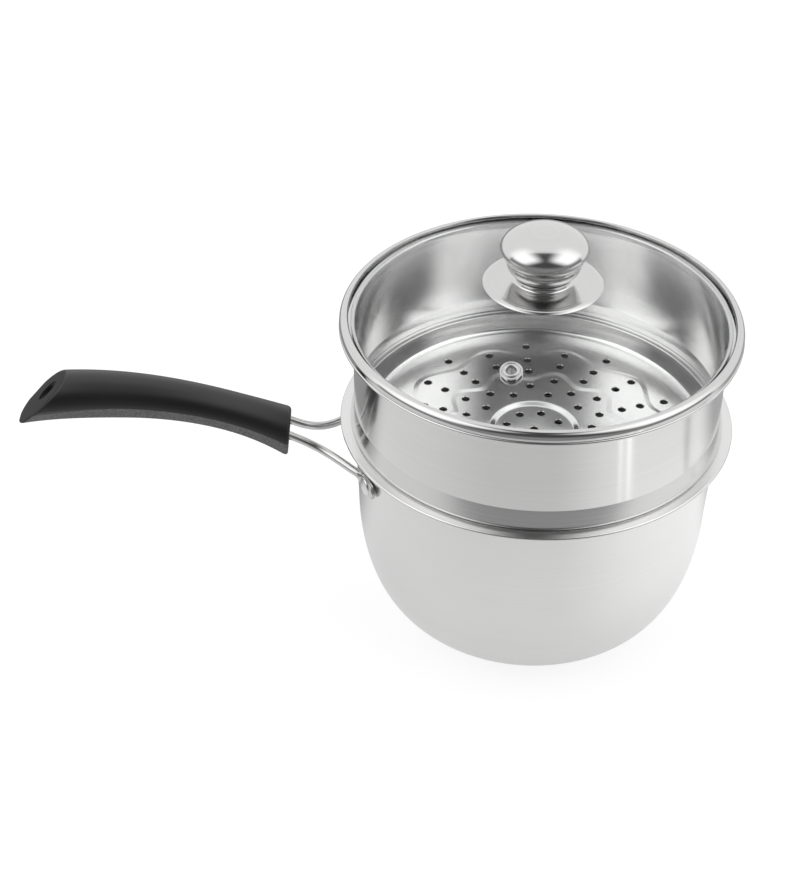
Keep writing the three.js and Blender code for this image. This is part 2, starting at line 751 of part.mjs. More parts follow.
// Knob: flange on the glass, cup, hollow domed cap and the post the screw runs into
const flangeFoot = domeZ(FLANGE.r, 0) + CLEAR / 2;
const neckZ = seatZ + FLANGE.neckRise;
const flangeOutline = [
  [FLANGE.boreR, seatZ],
  [FLANGE.seatR, seatZ],
  [FLANGE.r - FLANGE.rimWidth, flangeFoot],
  ...arc(FLANGE.r - FLANGE.edge, flangeFoot + FLANGE.edge, FLANGE.edge, -90, 90, 4),
  [FLANGE.r - FLANGE.rimWidth, flangeFoot + FLANGE.rimH],
  [(FLANGE.r + FLANGE.seatR) / 2, flangeFoot + FLANGE.bulge],
  [FLANGE.seatR + FLANGE.rootReach, seatZ + FLANGE.rootRise],
  [FLANGE.neckR, neckZ],
  [FLANGE.neckR + FLANGE.neckFlare, neckZ + FLANGE.flareRise],
  [FLANGE.collarR, flangeTopZ - FLANGE.collarH],
  [FLANGE.collarR, flangeTopZ],
  [FLANGE.boreR, flangeTopZ],
];
place('knob_flange', spinRing(flangeOutline, KNOB_STEPS), FINISH.knob);

const cupMouthR = CUP.footR + CUP.flare;
const cupLipR = cupMouthR + CUP.lipReach;
const cupOutline = [
  [FLANGE.boreR, cupFloorZ],
  [CUP.footR - CUP.footRound, cupFloorZ],
  [CUP.footR, cupFloorZ + CUP.footRound],
  [cupMouthR, cupRimZ - CUP.lipH - CUP.lipRise],
  [cupLipR, cupRimZ - CUP.lipH],
  [cupLipR, cupRimZ],
  [cupMouthR - CUP.lipReach, cupRimZ],
  [CUP.footR - CUP.wall, cupFloorZ + CUP.wall],
  [FLANGE.boreR, cupFloorZ + CUP.wall],
];
place('knob_cup', spinRing(cupOutline, KNOB_STEPS), FINISH.knob);

function capDome(inset) {
  const rise = capTopZ - capEdgeZ - inset;
  const reach = capEdgeR - inset;
  return arc(0, 0, 1, 0, 90, CAP.rings).map(([r, z]) => [reach * r, capEdgeZ + rise * z]);
}
const capOutline = [
  ...capDome(CAP.wall).reverse(),
  [capEdgeR - CAP.wall, capBottomZ],
  [capEdgeR - CAP.edgeRound, capBottomZ],
  ...capDome(0),
].map(([r, z]) => [Math.max(r, 0), z]);
place('knob_cap', spin(capOutline, KNOB_STEPS), FINISH.knob);

const postFoot = cupFloorZ + CUP.wall + CLEAR;
const postTop = capTopZ - CAP.wall - POST.headroom;
const boreTop = screwTop + POST.boreEase;
const postOutline = [
  [0, boreTop],
  [POST.boreR, boreTop],
  [POST.boreR, postFoot],
  [POST.r, postFoot],
  [POST.r, postTop],
  [0, postTop],
];
place('knob_post', spin(postOutline, KNOB_STEPS), FINISH.polished);

export default group;
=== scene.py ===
"""Two-tier steamer pot: a long-handled pot, a perforated steamer basket and a domed glass lid."""
import logging
import math
from dataclasses import dataclass
from enum import Enum
from typing import Callable, Iterable, Optional, Sequence, Union

import bmesh
import bpy
from mathutils import Matrix, Vector
from mathutils.geometry import interpolate_bezier


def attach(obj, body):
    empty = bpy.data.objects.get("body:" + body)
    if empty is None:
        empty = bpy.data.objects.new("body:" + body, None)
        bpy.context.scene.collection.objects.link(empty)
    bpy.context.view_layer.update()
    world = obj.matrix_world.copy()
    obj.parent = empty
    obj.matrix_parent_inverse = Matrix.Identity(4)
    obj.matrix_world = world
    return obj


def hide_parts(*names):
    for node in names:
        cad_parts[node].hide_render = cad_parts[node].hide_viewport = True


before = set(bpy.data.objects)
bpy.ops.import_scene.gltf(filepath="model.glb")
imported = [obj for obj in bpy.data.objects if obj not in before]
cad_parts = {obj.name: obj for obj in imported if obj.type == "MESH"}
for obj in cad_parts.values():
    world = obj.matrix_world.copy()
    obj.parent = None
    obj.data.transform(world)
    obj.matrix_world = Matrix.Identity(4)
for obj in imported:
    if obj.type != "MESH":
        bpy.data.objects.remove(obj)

LOG = logging.getLogger("steamer_pot")
MM = 0.001
Z_AXIS = Vector((0.0, 0.0, 1.0))

# The classes hold their sizes in millimetres; MM turns them into the metres of the scene.
SHEET = 0.8
RING_STEPS = 256
KNOB_STEPS = 144
SMALL_STEPS = 72
CUTTER_STEPS = 64
STUD_STEPS = 48
WASHER_ROUND = 0.3
FILLET_SHARE = 0.49
MERGE = 1e-7
DEGENERATE = 1e-8
SHARP = 38.0

# A Spot is a place in a plane, and a Span holds the two ends of a range.
Value = Union[float, "Sock"]
Spot = tuple[float, float]
Span = tuple[float, float]
Colour = tuple[float, float, float, float]
Ring = Sequence[Vector]
BMesh = bmesh.types.BMesh
Material = bpy.types.Material


class Slot(Enum):
    """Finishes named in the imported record."""

    SATIN = "satin_steel"
    POLISHED = "polished_steel"
    KNOB = "knob_steel"
    GLASS = "clear_glass"
    PHENOLIC = "phenolic"
    SILICONE = "silicone"


class Body(Enum):
    """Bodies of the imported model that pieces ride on."""

    POT = "pot"
    BASKET = "basket"
    LID = "lid"


class Sock:
    """A node socket that takes part in Python expressions."""

    def __init__(self, graph: "Graph", socket: bpy.types.NodeSocket) -> None:
        """Keeps the socket with the graph that it belongs to."""
        self.graph = graph
        self.socket = socket

    def __add__(self, other: Value) -> "Sock":
        """Sum of two values."""
        return self.graph.math("ADD", self, other)

    __radd__ = __add__

    def __sub__(self, other: Value) -> "Sock":
        """Difference of two values."""
        return self.graph.math("SUBTRACT", self, other)

    def __rsub__(self, other: Value) -> "Sock":
        """Difference with a plain number first."""
        return self.graph.math("SUBTRACT", other, self)

    def __mul__(self, other: Value) -> "Sock":
        """Product of two values."""
        return self.graph.math("MULTIPLY", self, other)

    __rmul__ = __mul__

    def __truediv__(self, other: Value) -> "Sock":
        """Quotient of two values."""
        return self.graph.math("DIVIDE", self, other)

    def __pow__(self, other: Value) -> "Sock":
        """Power of a value."""
        return self.graph.math("POWER", self, other)

    def abs(self) -> "Sock":
        """Value without its sign."""
        return self.graph.math("ABSOLUTE", self)

    def max(self, other: Value) -> "Sock":
        """Larger of two values."""
        return self.graph.math("MAXIMUM", self, other)

    def step(self, low: float, high: float) -> "Sock":
        """Soft step from 0 at low to 1 at high; low may be the larger one.

        Args:
            low: Value that gives 0.
            high: Value that gives 1.

        Returns:
            The eased value between 0 and 1.
        """
        if low > high:
            return 1 - self.step(high, low)
        settings = {"interpolation_type": "SMOOTHSTEP"}
        inputs = {"Value": self, "From Min": low, "From Max": high}
        node = self.graph.node("ShaderNodeMapRange", settings, inputs)
        return Sock(self.graph, node.outputs["Result"])


class Graph:
    """Adds nodes to one node tree."""

    def __init__(self, tree: bpy.types.NodeTree) -> None:
        """Starts from an empty tree."""
        self.tree = tree
        tree.nodes.clear()

    def node(self, kind: str, settings: Optional[dict] = None,
             inputs: Optional[dict] = None) -> bpy.types.Node:
        """Adds one node.

        Args:
            kind: Type name of the node.
            settings: Properties that are set first.
            inputs: Value, Sock or output socket for each input, by name or number.

        Returns:
            The new node.
        """
        node = self.tree.nodes.new(kind)
        for key, value in (settings or {}).items():
            setattr(node, key, value)
        for key, value in (inputs or {}).items():
            self.feed(node.inputs[key], value)
        return node

    def feed(self, socket: bpy.types.NodeSocket, value: object) -> None:
        """Sets or links one input socket.

        Args:
            socket: Input of a node.
            value: Plain value, Sock or output socket for it.
        """
        if isinstance(value, Sock):
            self.tree.links.new(value.socket, socket)
        elif isinstance(value, bpy.types.NodeSocket):
            self.tree.links.new(value, socket)
        else:
            socket.default_value = value

    def math(self, operation: str, *values: Value) -> Sock:
        """Adds a Math node for the values."""
        node = self.node("ShaderNodeMath", {"operation": operation}, dict(enumerate(values)))
        return Sock(self, node.outputs[0])

    def dot(self, first: bpy.types.NodeSocket, second: Sequence[float]) -> Sock:
        """Adds a dot product with a fixed vector."""
        node = self.node("ShaderNodeVectorMath", {"operation": "DOT_PRODUCT"}, {0: first, 1: tuple(second)})
        return Sock(self, node.outputs["Value"])

    def noise(self, vector: object, scale: float, detail: float = 2.0) -> Sock:
        """Adds a noise texture.

        Args:
            vector: Socket of the coordinates.
            scale: Features for each unit of the coordinates.
            detail: Octaves of finer noise.

        Returns:
            The noise value, about 0.5 on average.
        """
        node = self.node("ShaderNodeTexNoise", None, {"Vector": vector, "Scale": scale, "Detail": detail})
        return Sock(self, node.outputs["Fac"])

    def place(self) -> tuple[bpy.types.NodeSocket, Sock, Sock, Sock]:
        """Adds the object coordinates.

        Returns:
            The coordinates, whole and split into x, y and z.
        """
        coords = self.node("ShaderNodeTexCoord").outputs["Object"]
        split = self.node("ShaderNodeSeparateXYZ", None, {0: coords})
        return (coords, *(Sock(self, out) for out in split.outputs))

    def vector(self, x: Value, y: Value, z: Value) -> bpy.types.NodeSocket:
        """Joins three values into a vector."""
        return self.node("ShaderNodeCombineXYZ", None, {0: x, 1: y, 2: z}).outputs[0]

    def mix(self, factor: Value, first: object, second: object) -> bpy.types.NodeSocket:
        """Mixes two colours."""
        node = self.node("ShaderNodeMix", {"data_type": "RGBA"}, {0: factor, 6: first, 7: second})
        return node.outputs[2]

    def bump(self, height: Sock, depth: float) -> bpy.types.NodeSocket:
        """Adds a bump of a depth in metres."""
        node = self.node("ShaderNodeBump", None, {"Strength": 1.0, "Distance": depth, "Height": height})
        return node.outputs[0]

    def shade(self, inputs: dict[str, object]) -> None:
        """Ends the graph of a material with one Principled shader."""
        shader = self.node("ShaderNodeBsdfPrincipled", None, inputs)
        self.node("ShaderNodeOutputMaterial", None, {"Surface": shader.outputs[0]})


def colour(grey: float, warm: float = 0.0) -> Colour:
    """Near-neutral colour.

    Args:
        grey: Brightness in linear light.
        warm: Shift from blue to red.

    Returns:
        The colour with full alpha.
    """
    return (grey * (1 + warm), grey, grey * (1 - warm), 1.0)


def new_material(name: str) -> tuple[Material, Graph]:
    """Makes an empty node material.

    Args:
        name: Name of the material.

    Returns:
        The material and its graph.
    """
    material = bpy.data.materials.new(name)
    material.use_nodes = True
    return material, Graph(material.node_tree)


class Grain(Enum):
    """How the polishing lines lie on a steel piece."""

    TURNED = "rings round the axis of the pot"
    DRAWN = "along the piece, as on drawn wire"


@dataclass(frozen=True)
class SteelFinish:
    """Stainless steel with fine polishing lines, faint smudges and brighter rubbed places."""

    name: str
    grey: float = 0.62
    roughness: float = 0.2
    across: float = 0.0
    across_turn: float = 0.25
    grain: Grain = Grain.TURNED
    line_pitch: float = 0.45 * MM
    line_roughness: float = 0.05
    line_depth: float = 0.002 * MM
    smudge: float = 0.05
    smudge_scale: float = 28.0
    blotch_scale: float = 9.0
    blotch_detail: float = 1.0
    tone_span: Span = (0.2, 0.8)
    dull: float = 0.93
    bright: float = 1.05
    warmth: float = 0.004
    least_roughness: float = 0.02
    detail: float = 3.0

    def material(self) -> Material:
        """Builds the node material.

        Returns:
            The material.
        """
        material, graph = new_material(self.name)
        coords, x, y, z = graph.place()
        line_coords = coords
        if self.grain is Grain.TURNED:
            line_coords = graph.vector((x * x + y * y) ** 0.5, z, 0.0)
        lines = graph.noise(line_coords, 1 / self.line_pitch, self.detail)
        smudges = graph.noise(coords, self.smudge_scale, self.detail)
        blotches = graph.noise(coords, self.blotch_scale, self.blotch_detail)
        rough = self.roughness + (lines - 0.5) * self.line_roughness + (smudges - 0.5) * self.smudge
        tone = (lines * 0.5 + blotches * 0.5).step(*self.tone_span)
        dull, bright = (colour(self.grey * part, self.warmth) for part in (self.dull, self.bright))
        graph.shade({
            "Base Color": graph.mix(tone, dull, bright),
            "Metallic": 1.0,
            "Roughness": rough.max(self.least_roughness),
            "Anisotropic": self.across,
            "Anisotropic Rotation": self.across_turn,
            "Normal": graph.bump(lines, self.line_depth),
        })
        return material


@dataclass(frozen=True)
class GlassFinish:
    """Clear tempered glass with faint wiping marks."""

    name: str
    tint: Colour = (0.975, 0.985, 0.982, 1.0)
    ior: float = 1.3
    sheen: float = 0.4
    haze: float = 0.012
    mark_scale: float = 34.0
    mark_detail: float = 4.0
    mark_span: Span = (0.52, 0.9)

    def material(self) -> Material:
        """Builds the node material.

        Returns:
            The material.
        """
        material, graph = new_material(self.name)
        coords, *_ = graph.place()
        marks = graph.noise(coords, self.mark_scale, self.mark_detail)
        graph.shade({
            "Base Color": self.tint,
            "Roughness": marks.step(*self.mark_span) * self.haze,
            "IOR": self.ior,
            "Specular Tint": colour(self.sheen),
            "Transmission Weight": 1.0,
        })
        return material


@dataclass(frozen=True)
class PhenolicFinish:
    """Black moulded grip, satin on its dome and matt below the crease; the paler colour below the crease is
    painted light.
    """

    name: str
    centre: Spot
    radius: float
    cut: tuple[float, float, float]
    grey: float = 0.004
    rubbed: float = 0.009
    # Grey of the keel below the crease: painted light, the same black material drawn paler.
    keel: float = 0.24
    roughness: float = 0.4
    keel_roughness: float = 0.55
    cut_roughness: float = 0.75
    tip_drop: float = 2.0 * MM
    tip_span: Span = (60.0 * MM, 15.0 * MM)
    cut_span: Span = (0.4 * MM, 1.4 * MM)
    crease_span: Span = (0.2 * MM, -0.6 * MM)
    gloss: float = 0.7
    warmth: float = 0.01
    skin_scale: float = 2400.0
    skin_depth: float = 0.012 * MM
    skin_spread: float = 0.1
    cloud_scale: float = 24.0
    cloud_detail: float = 3.0
    cloud_span: Span = (0.35, 0.7)
    cloud_spread: float = 0.12
    speck_scale: float = 900.0
    speck_span: Span = (0.3, 0.75)
    speck_tones: Span = (0.7, 1.3)

    def material(self) -> Material:
        """Builds the node material.

        Returns:
            The material.
        """
        material, graph = new_material(self.name)
        coords, x, _, z = graph.place()
        skin = graph.noise(coords, self.skin_scale)
        cloud = graph.noise(coords, self.cloud_scale, self.cloud_detail)
        specks = graph.noise(coords, self.speck_scale)
        off_x, off_z = x - self.centre[0], z - self.centre[1]
        over = (off_x * off_x + off_z * off_z) ** 0.5 - self.radius
        cut_x, cut_z, slope = self.cut
        # The painted light's upper edge sits lower near the far end.
        over = over + (x - cut_x).step(*self.tip_span) * self.tip_drop
        behind_cut = (x - (z - cut_z) * slope - cut_x).step(*self.cut_span)
        # Mask of the painted light below the crease, stopped at the slanted far end.
        below = over.step(*self.crease_span) * behind_cut
        plain, rubbed = (colour(grey, self.warmth) for grey in (self.grey, self.rubbed))
        dome = graph.mix(cloud.step(*self.cloud_span), plain, rubbed)
        # Paler speckled keel colour: painted light from the floor.
        pits, tops = (colour(self.keel * tone) for tone in self.speck_tones)
        keel = graph.mix(specks.step(*self.speck_span), pits, tops)
        rough = self.roughness + (cloud - 0.5) * self.cloud_spread + (skin - 0.5) * self.skin_spread
        rough = rough + (1 - behind_cut) * (self.cut_roughness - self.roughness)
        graph.shade({
            "Base Color": graph.mix(below, dome, keel),
            "Roughness": rough + below * (self.keel_roughness - self.roughness),
            "Specular IOR Level": self.gloss,
            "Normal": graph.bump(skin, self.skin_depth),
        })
        return material


@dataclass(frozen=True)
class SiliconeFinish:
    """Milky silicone of the gaskets."""

    name: str
    thin: Colour = (0.6, 0.6, 0.57, 1.0)
    milky: Colour = (0.74, 0.74, 0.71, 1.0)
    roughness: float = 0.5
    spread: float = 0.2
    cloud_scale: float = 160.0
    cloud_detail: float = 3.0
    cloud_depth: float = 0.01 * MM

    def material(self) -> Material:
        """Builds the node material.

        Returns:
            The material.
        """
        material, graph = new_material(self.name)
        coords, *_ = graph.place()
        cloud = graph.noise(coords, self.cloud_scale, self.cloud_detail)
        graph.shade({
            "Base Color": graph.mix(cloud, self.thin, self.milky),
            "Roughness": self.roughness + (cloud - 0.5) * self.spread,
            "Normal": graph.bump(cloud, self.cloud_depth),
        })
        return material


class Outline:
    """Line of radius and height points in millimetres, drawn corner by corner."""

    def __init__(self, r: float, z: float) -> None:
        """Starts the line at one point."""
        self._corners: list[tuple[Vector, float]] = [(Vector((r, z)), 0.0)]

    def to(self, r: float, z: float, fillet: float = 0.0) -> "Outline":
        """Draws on to a corner.

        Args:
            r: Radius of the corner.
            z: Height of the corner.
            fillet: Radius that rounds the corner.

        Returns:
            The same outline.
        """
        self._corners.append((Vector((r, z)), fillet))
        return self

    def along(self, points: Iterable[Spot]) -> "Outline":
        """Draws through a row of points.

        Args:
            points: Radius and height of each point.

        Returns:
            The same outline.
        """
        for r, z in points:
            self.to(r, z)
        return self

    def points(self, fillet_steps: int = 6, close: bool = False) -> list[Vector]:
        """Works out the points with rounded corners.

        Args:
            fillet_steps: Pieces of each rounded corner.
            close: Whether the last point runs back to the first.

        Returns:
            Points of the line.
        """
        rounded: list[Vector] = []
        count = len(self._corners)
        for index, (corner, fillet) in enumerate(self._corners):
            ends = index in (0, count - 1) and not close
            if fillet <= 0 or ends:
                rounded.append(corner)
                continue
            before = self._corners[index - 1][0] - corner
            after = self._corners[(index + 1) % count][0] - corner
            rounded.extend(self._round(corner, before, after, fillet, fillet_steps))
        return rounded + rounded[:1] if close else rounded

    @staticmethod
    def _round(corner: Vector, before: Vector, after: Vector, fillet: float, steps: int) -> list[Vector]:
        """Rounds one corner.

        Args:
            corner: The corner.
            before: Way from it to the corner before.
            after: Way from it to the corner after.
            fillet: Radius of the rounding, as far as both ways have room for it.
            steps: Pieces of the rounding.

        Returns:
            Points of the rounding.
        """
        half = before.angle(after) / 2
        reach = min(fillet / math.tan(half), before.length * FILLET_SHARE, after.length * FILLET_SHARE)
        start = corner + before.normalized() * reach
        end = corner + after.normalized() * reach
        centre = corner + (before.normalized() + after.normalized()).normalized() * (reach / math.cos(half))
        first = start - centre
        turn = first.angle_signed(end - centre)
        return [centre + Matrix.Rotation(-turn * i / steps, 2) @ first for i in range(steps + 1)]


def arc(r: float, z: float, radius: float, start: float, end: float, steps: int) -> list[Spot]:
    """Points of an arc.

    Args:
        r: Radius coordinate of the centre.
        z: Height of the centre.
        radius: Radius of the arc.
        start: First angle in degrees.
        end: Last angle in degrees.
        steps: Pieces of the arc.

    Returns:
        Radius and height of each point, both ends included.
    """
    angles = [math.radians(start + (end - start) * i / steps) for i in range(steps + 1)]
    return [(r + radius * math.cos(a), z + radius * math.sin(a)) for a in angles]


def bulge(start: Spot, end: Spot, rise: float, steps: int) -> list[Spot]:
    """Points of an arc that bows out to the left of a straight line.

    Args:
        start: Radius and height of the first point.
        end: Radius and height of the last point.
        rise: Height of the bow; a negative one bows in.
        steps: Pieces of the arc.

    Returns:
        Radius and height of each point, both ends included.
    """
    first, last = Vector(start), Vector(end)
    chord = last - first
    side = Vector((-chord.y, chord.x)).normalized()
    places = [i / steps for i in range(steps + 1)]
    return [tuple(first + chord * p + side * rise * 4 * p * (1 - p)) for p in places]


def turn_up(r: float, z: float, reach: float, rise: float, power: float, steps: int) -> list[Spot]:
    """Points of a curve that leaves a flat and turns up into a wall.

    Args:
        r: Radius where the flat ends.
        z: Height of the flat.
        reach: Width of the curve.
        rise: Height of the curve.
        power: Fullness, where 2 is an ellipse.
        steps: Pieces of the curve.

    Returns:
        Radius and height of each point.
    """
    angles = [math.pi / 2 * i / steps for i in range(steps + 1)]
    return [(r + reach * math.sin(a) ** (2 / power), z + rise * (1 - max(math.cos(a), 0.0) ** (2 / power)))
            for a in angles]


def spin(points: Sequence[Vector], steps: int) -> BMesh:
    """Spins an outline once round the Z axis.

    Args:
        points: Radius and height of each point in millimetres.
        steps: Facets round the axis.

    Returns:
        The spun mesh, its faces pointing out.
    """
    bm = bmesh.new()
    verts = [bm.verts.new((point.x * MM, 0.0, point.y * MM)) for point in points]
    edges = [bm.edges.new(pair) for pair in zip(verts, verts[1:])]
    bmesh.ops.spin(bm, geom=verts + edges, cent=(0, 0, 0), axis=Z_AXIS, angle=math.tau, steps=steps,
                   use_merge=True)
    close_up(bm)
    return bm


def close_up(bm: BMesh) -> None:
    """Merges doubled points and turns the faces to point out.

    Args:
        bm: Mesh in the making.
    """
    bmesh.ops.remove_doubles(bm, verts=bm.verts, dist=MERGE)
    bmesh.ops.dissolve_degenerate(bm, edges=bm.edges, dist=DEGENERATE)
    bmesh.ops.recalc_face_normals(bm, faces=bm.faces)


def thicken(bm: BMesh, sheet: float) -> None:
    """Gives an open shell, drawn by its inside line, a sheet thickness in millimetres to the outside."""
    bmesh.ops.solidify(bm, geom=bm.faces[:], thickness=sheet * MM)


def loft(rings: Iterable[Ring]) -> BMesh:
    """Joins a row of closed rings into one closed body.

    Args:
        rings: Points of each ring in millimetres, the same number in each.

    Returns:
        The lofted mesh with both ends filled.
    """
    bm = bmesh.new()
    last: list[bmesh.types.BMEdge] = []
    for points in rings:
        ring = bmesh.ops.create_circle(bm, segments=len(points), radius=1.0, cap_ends=False)["verts"]
        for vert, point in zip(ring, points):
            vert.co = point * MM
        edges = list({edge for vert in ring for edge in vert.link_edges})
        if last:
            bmesh.ops.bridge_loops(bm, edges=last + edges)
        last = edges
    bmesh.ops.holes_fill(bm, edges=bm.edges, sides=0)
    close_up(bm)
    return bm


def cylinder(radius: float, low: float, high: float, steps: int = CUTTER_STEPS) -> BMesh:
    """Closed cylinder round the z axis, in millimetres."""
    return spin(Outline(0.0, low).to(radius, low).to(radius, high).to(0.0, high).points(), steps)


def flat_ring(bore: float, radius: float, low: float, high: float) -> BMesh:
    """Flat ring round the z axis with rounded outer edges, in millimetres."""
    outline = Outline(bore, low).to(radius, low, WASHER_ROUND).to(radius, high, WASHER_ROUND).to(bore, high)
    return spin(outline.points(fillet_steps=4, close=True), SMALL_STEPS)


def polar(radius: float, angle: float, height: float) -> Vector:
    """Place at a radius, an angle round the z axis and a height."""
    return Vector((radius * math.cos(angle), radius * math.sin(angle), height))


def moved(bm: BMesh, place: Matrix) -> BMesh:
    """Takes a mesh in the making to its place."""
    bmesh.ops.transform(bm, matrix=place, verts=bm.verts)
    return bm


def ease(value: float, low: float, high: float) -> float:
    """Soft step from 0 at low to 1 at high."""
    part = min(max((value - low) / (high - low), 0.0), 1.0)
    return part * part * (3 - 2 * part)


def spline(points: Sequence[Vector], pitch: float) -> list[Vector]:
    """Smooth line through points.

    Args:
        points: Points that the line passes through.
        pitch: Distance between the points of the result.

    Returns:
        Points along the line.
    """
    ends = [2 * points[0] - points[1], *points, 2 * points[-1] - points[-2]]
    line: list[Vector] = []
    for a, b, c, d in zip(ends, ends[1:], ends[2:], ends[3:]):
        first, span, last = (math.sqrt((q - p).length) for p, q in ((a, b), (b, c), (c, d)))
        leave = (b - a) * (span / first) - (c - a) * (span / (first + span)) + (c - b)
        arrive = (c - b) - (d - b) * (span / (span + last)) + (d - c) * (span / last)
        count = max(2, round((c - b).length / pitch))
        for i in range(count):
            t = i / count
            line.append(b + leave * t + (3 * (c - b) - 2 * leave - arrive) * t ** 2
                        + (2 * (b - c) + leave + arrive) * t ** 3)
    return line + [points[-1]]


def smooth(mesh: bpy.types.Mesh, sharp: float) -> None:
    """Shades a mesh smoothly, but for edges that turn by more than an angle in degrees."""
    mesh.shade_smooth()
    mesh.set_sharp_from_angle(angle=math.radians(sharp))


def to_object(name: str, bm: BMesh, sharp: float = SHARP) -> bpy.types.Object:
    """Turns a mesh in the making into an object with smooth shading.

    Args:
        name: Name of the object.
        bm: Mesh in the making, freed here.
        sharp: Edges that turn by more than this many degrees stay crisp.

    Returns:
        The new object at the origin.
    """
    mesh = bpy.data.meshes.new(name)
    bm.to_mesh(mesh)
    bm.free()
    smooth(mesh, sharp)
    obj = bpy.data.objects.new(name, mesh)
    bpy.context.scene.collection.objects.link(obj)
    return obj


def carve(obj: bpy.types.Object, cutter: BMesh, sharp: float = SHARP) -> None:
    """Cuts a shape out of an object.

    Args:
        obj: Object to cut.
        cutter: Shape to take away, freed here.
        sharp: Edges that turn by more than this many degrees stay crisp.
    """
    tool = to_object(obj.name + "_cutter", cutter)
    cut = obj.modifiers.new("cut", "BOOLEAN")
    cut.operation = "DIFFERENCE"
    cut.solver = "EXACT"
    cut.object = tool
    depsgraph = bpy.context.evaluated_depsgraph_get()
    carved = bpy.data.meshes.new_from_object(obj.evaluated_get(depsgraph))
    obj.modifiers.remove(cut)
    whole = obj.data
    obj.data = carved
    carved.name = obj.name
    smooth(carved, sharp)
    bpy.data.meshes.remove(whole)
    bpy.data.meshes.remove(tool.data)


def dress(obj: bpy.types.Object, material: Material, body: Body, slot: Slot, *nodes: str) -> None:
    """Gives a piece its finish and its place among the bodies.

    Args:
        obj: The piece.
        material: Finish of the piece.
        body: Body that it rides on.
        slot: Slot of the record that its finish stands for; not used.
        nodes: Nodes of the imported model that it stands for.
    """
    obj.data.materials.clear()
    obj.data.materials.append(material)
    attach(obj, body.value)
    if nodes:
        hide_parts(*nodes)
    LOG.info("%s: %d faces, rides on %s", obj.name, len(obj.data.polygons), body.value)


def line(obj: bpy.types.Object, material: Material, middle: float, reach: float) -> None:
    """Gives the inside of a bowl a steel of its own: a darker or brighter copy of the outside's, as painted
    shade or painted light.

    Args:
        obj: The bowl.
        material: Finish of the faces that look at a place on the axis.
        middle: Height of that place in millimetres.
        reach: Radius in millimetres within which faces count as the inside.
    """
    obj.data.materials.append(material)
    place = Z_AXIS * middle * MM
    for face in obj.data.polygons:
        looks_in = face.normal.dot(face.center - place) < 0 and face.center.xy.length < reach * MM
        face.material_index = int(looks_in)


@dataclass(frozen=True)
class Finishes:
    """All materials of the object."""

    satin: Material
    # Darker copy of the steel for the pot's inside: painted shade.
    inside: Material
    # Brighter copy of the polished steel for the basket's inside: painted light.
    polished: Material
    bowl: Material
    band: Material
    wire: Material
    knob: Material
    glass: Material
    phenolic: Material
    silicone: Material

    @classmethod
    def make(cls, grip: PhenolicFinish) -> "Finishes":
        """Builds every material once.

        Args:
            grip: Finish of the grip, which follows its shape.

        Returns:
            The materials.
        """
        bright = {"roughness": 0.17, "across": 0.7, "line_roughness": 0.08}
        return cls(
            satin=SteelFinish("satin_steel", grey=0.76, roughness=0.22, across=0.75).material(),
            # The pot's inside: a darker copy of the satin steel, painted shade.
            inside=SteelFinish("painted_shade_inside_steel", grey=0.45, roughness=0.3, across=0.6).material(),
            polished=SteelFinish("polished_steel", grey=0.74, **bright).material(),
            # The basket's inside: a brighter copy of the polished steel, painted light.
            bowl=SteelFinish("painted_light_bowl_steel", grey=0.84, **bright).material(),
            band=SteelFinish("band_steel", grey=0.66, roughness=0.1).material(),
            wire=SteelFinish("wire_steel", grey=0.6, roughness=0.16, grain=Grain.DRAWN).material(),
            knob=SteelFinish("knob_steel", grey=0.66, roughness=0.14, across=0.2).material(),
            glass=GlassFinish("clear_glass").material(),
            phenolic=grip.material(),
            silicone=SiliconeFinish("milky_silicone").material(),
        )


@dataclass(frozen=True)
class Rim:
    """Flat rim bent out of a wall, with a rolled edge."""

    bend: float = 1.6
    hem: float = 0.9
    roll_turns: Span = (80.0, -170.0)
    roll_steps: int = 14

    def draw(self, outline: Outline, wall: float, edge: float, top: float) -> Outline:
        """Adds the rim to an outline of the inside of a sheet.

        Args:
            outline: Outline that has come up to the wall.
            wall: Inside radius of the wall.
            edge: Outside radius of the rolled edge.
            top: Height of the rim.

        Returns:
            The same outline.
        """
        outline.to(wall, top, self.bend)
        outline.to(edge - self.hem, top)
        middle = (edge - self.hem, top - self.hem)
        return outline.along(arc(*middle, self.hem, *self.roll_turns, self.roll_steps))


@dataclass(frozen=True)
class Pot:
    """Drawn steel pot."""

    mouth: float = 96.4
    rim_height: float = 119.4
    rim_reach: float = 7.1
    taper: float = 2.0
    corner_reach: float = 34.4
    corner_height: float = 70.0
    corner_power: float = 2.2
    corner_steps: int = 36
    rim: Rim = Rim()

    @property
    def rim_radius(self) -> float:
        """Outer edge of the rim."""
        return self.mouth + self.rim_reach

    def wall(self, height: float) -> float:
        """Outside radius of the wall at a height over the base curve."""
        lean = self.taper * (height - self.corner_height) / (self.rim_height - self.corner_height)
        return self.mouth - self.taper + lean

    def build(self, finishes: Finishes) -> None:
        """Spins the pot from the inside line of its sheet.

        Args:
            finishes: Materials of the object.
        """
        flat = self.mouth - self.taper - self.corner_reach
        outline = Outline(0.0, SHEET)
        outline.along(turn_up(flat, SHEET, self.corner_reach - SHEET, self.corner_height - SHEET,
                              self.corner_power, self.corner_steps))
        self.rim.draw(outline, self.mouth - SHEET, self.rim_radius, self.rim_height)
        bm = spin(outline.points(fillet_steps=8), RING_STEPS)
        thicken(bm, SHEET)
        pot = to_object("pot_shell", bm)
        dress(pot, finishes.satin, Body.POT, Slot.SATIN, "pot_body")
        # The pot's inside gets the darker steel: painted shade.
        line(pot, finishes.inside, self.corner_height, self.mouth)


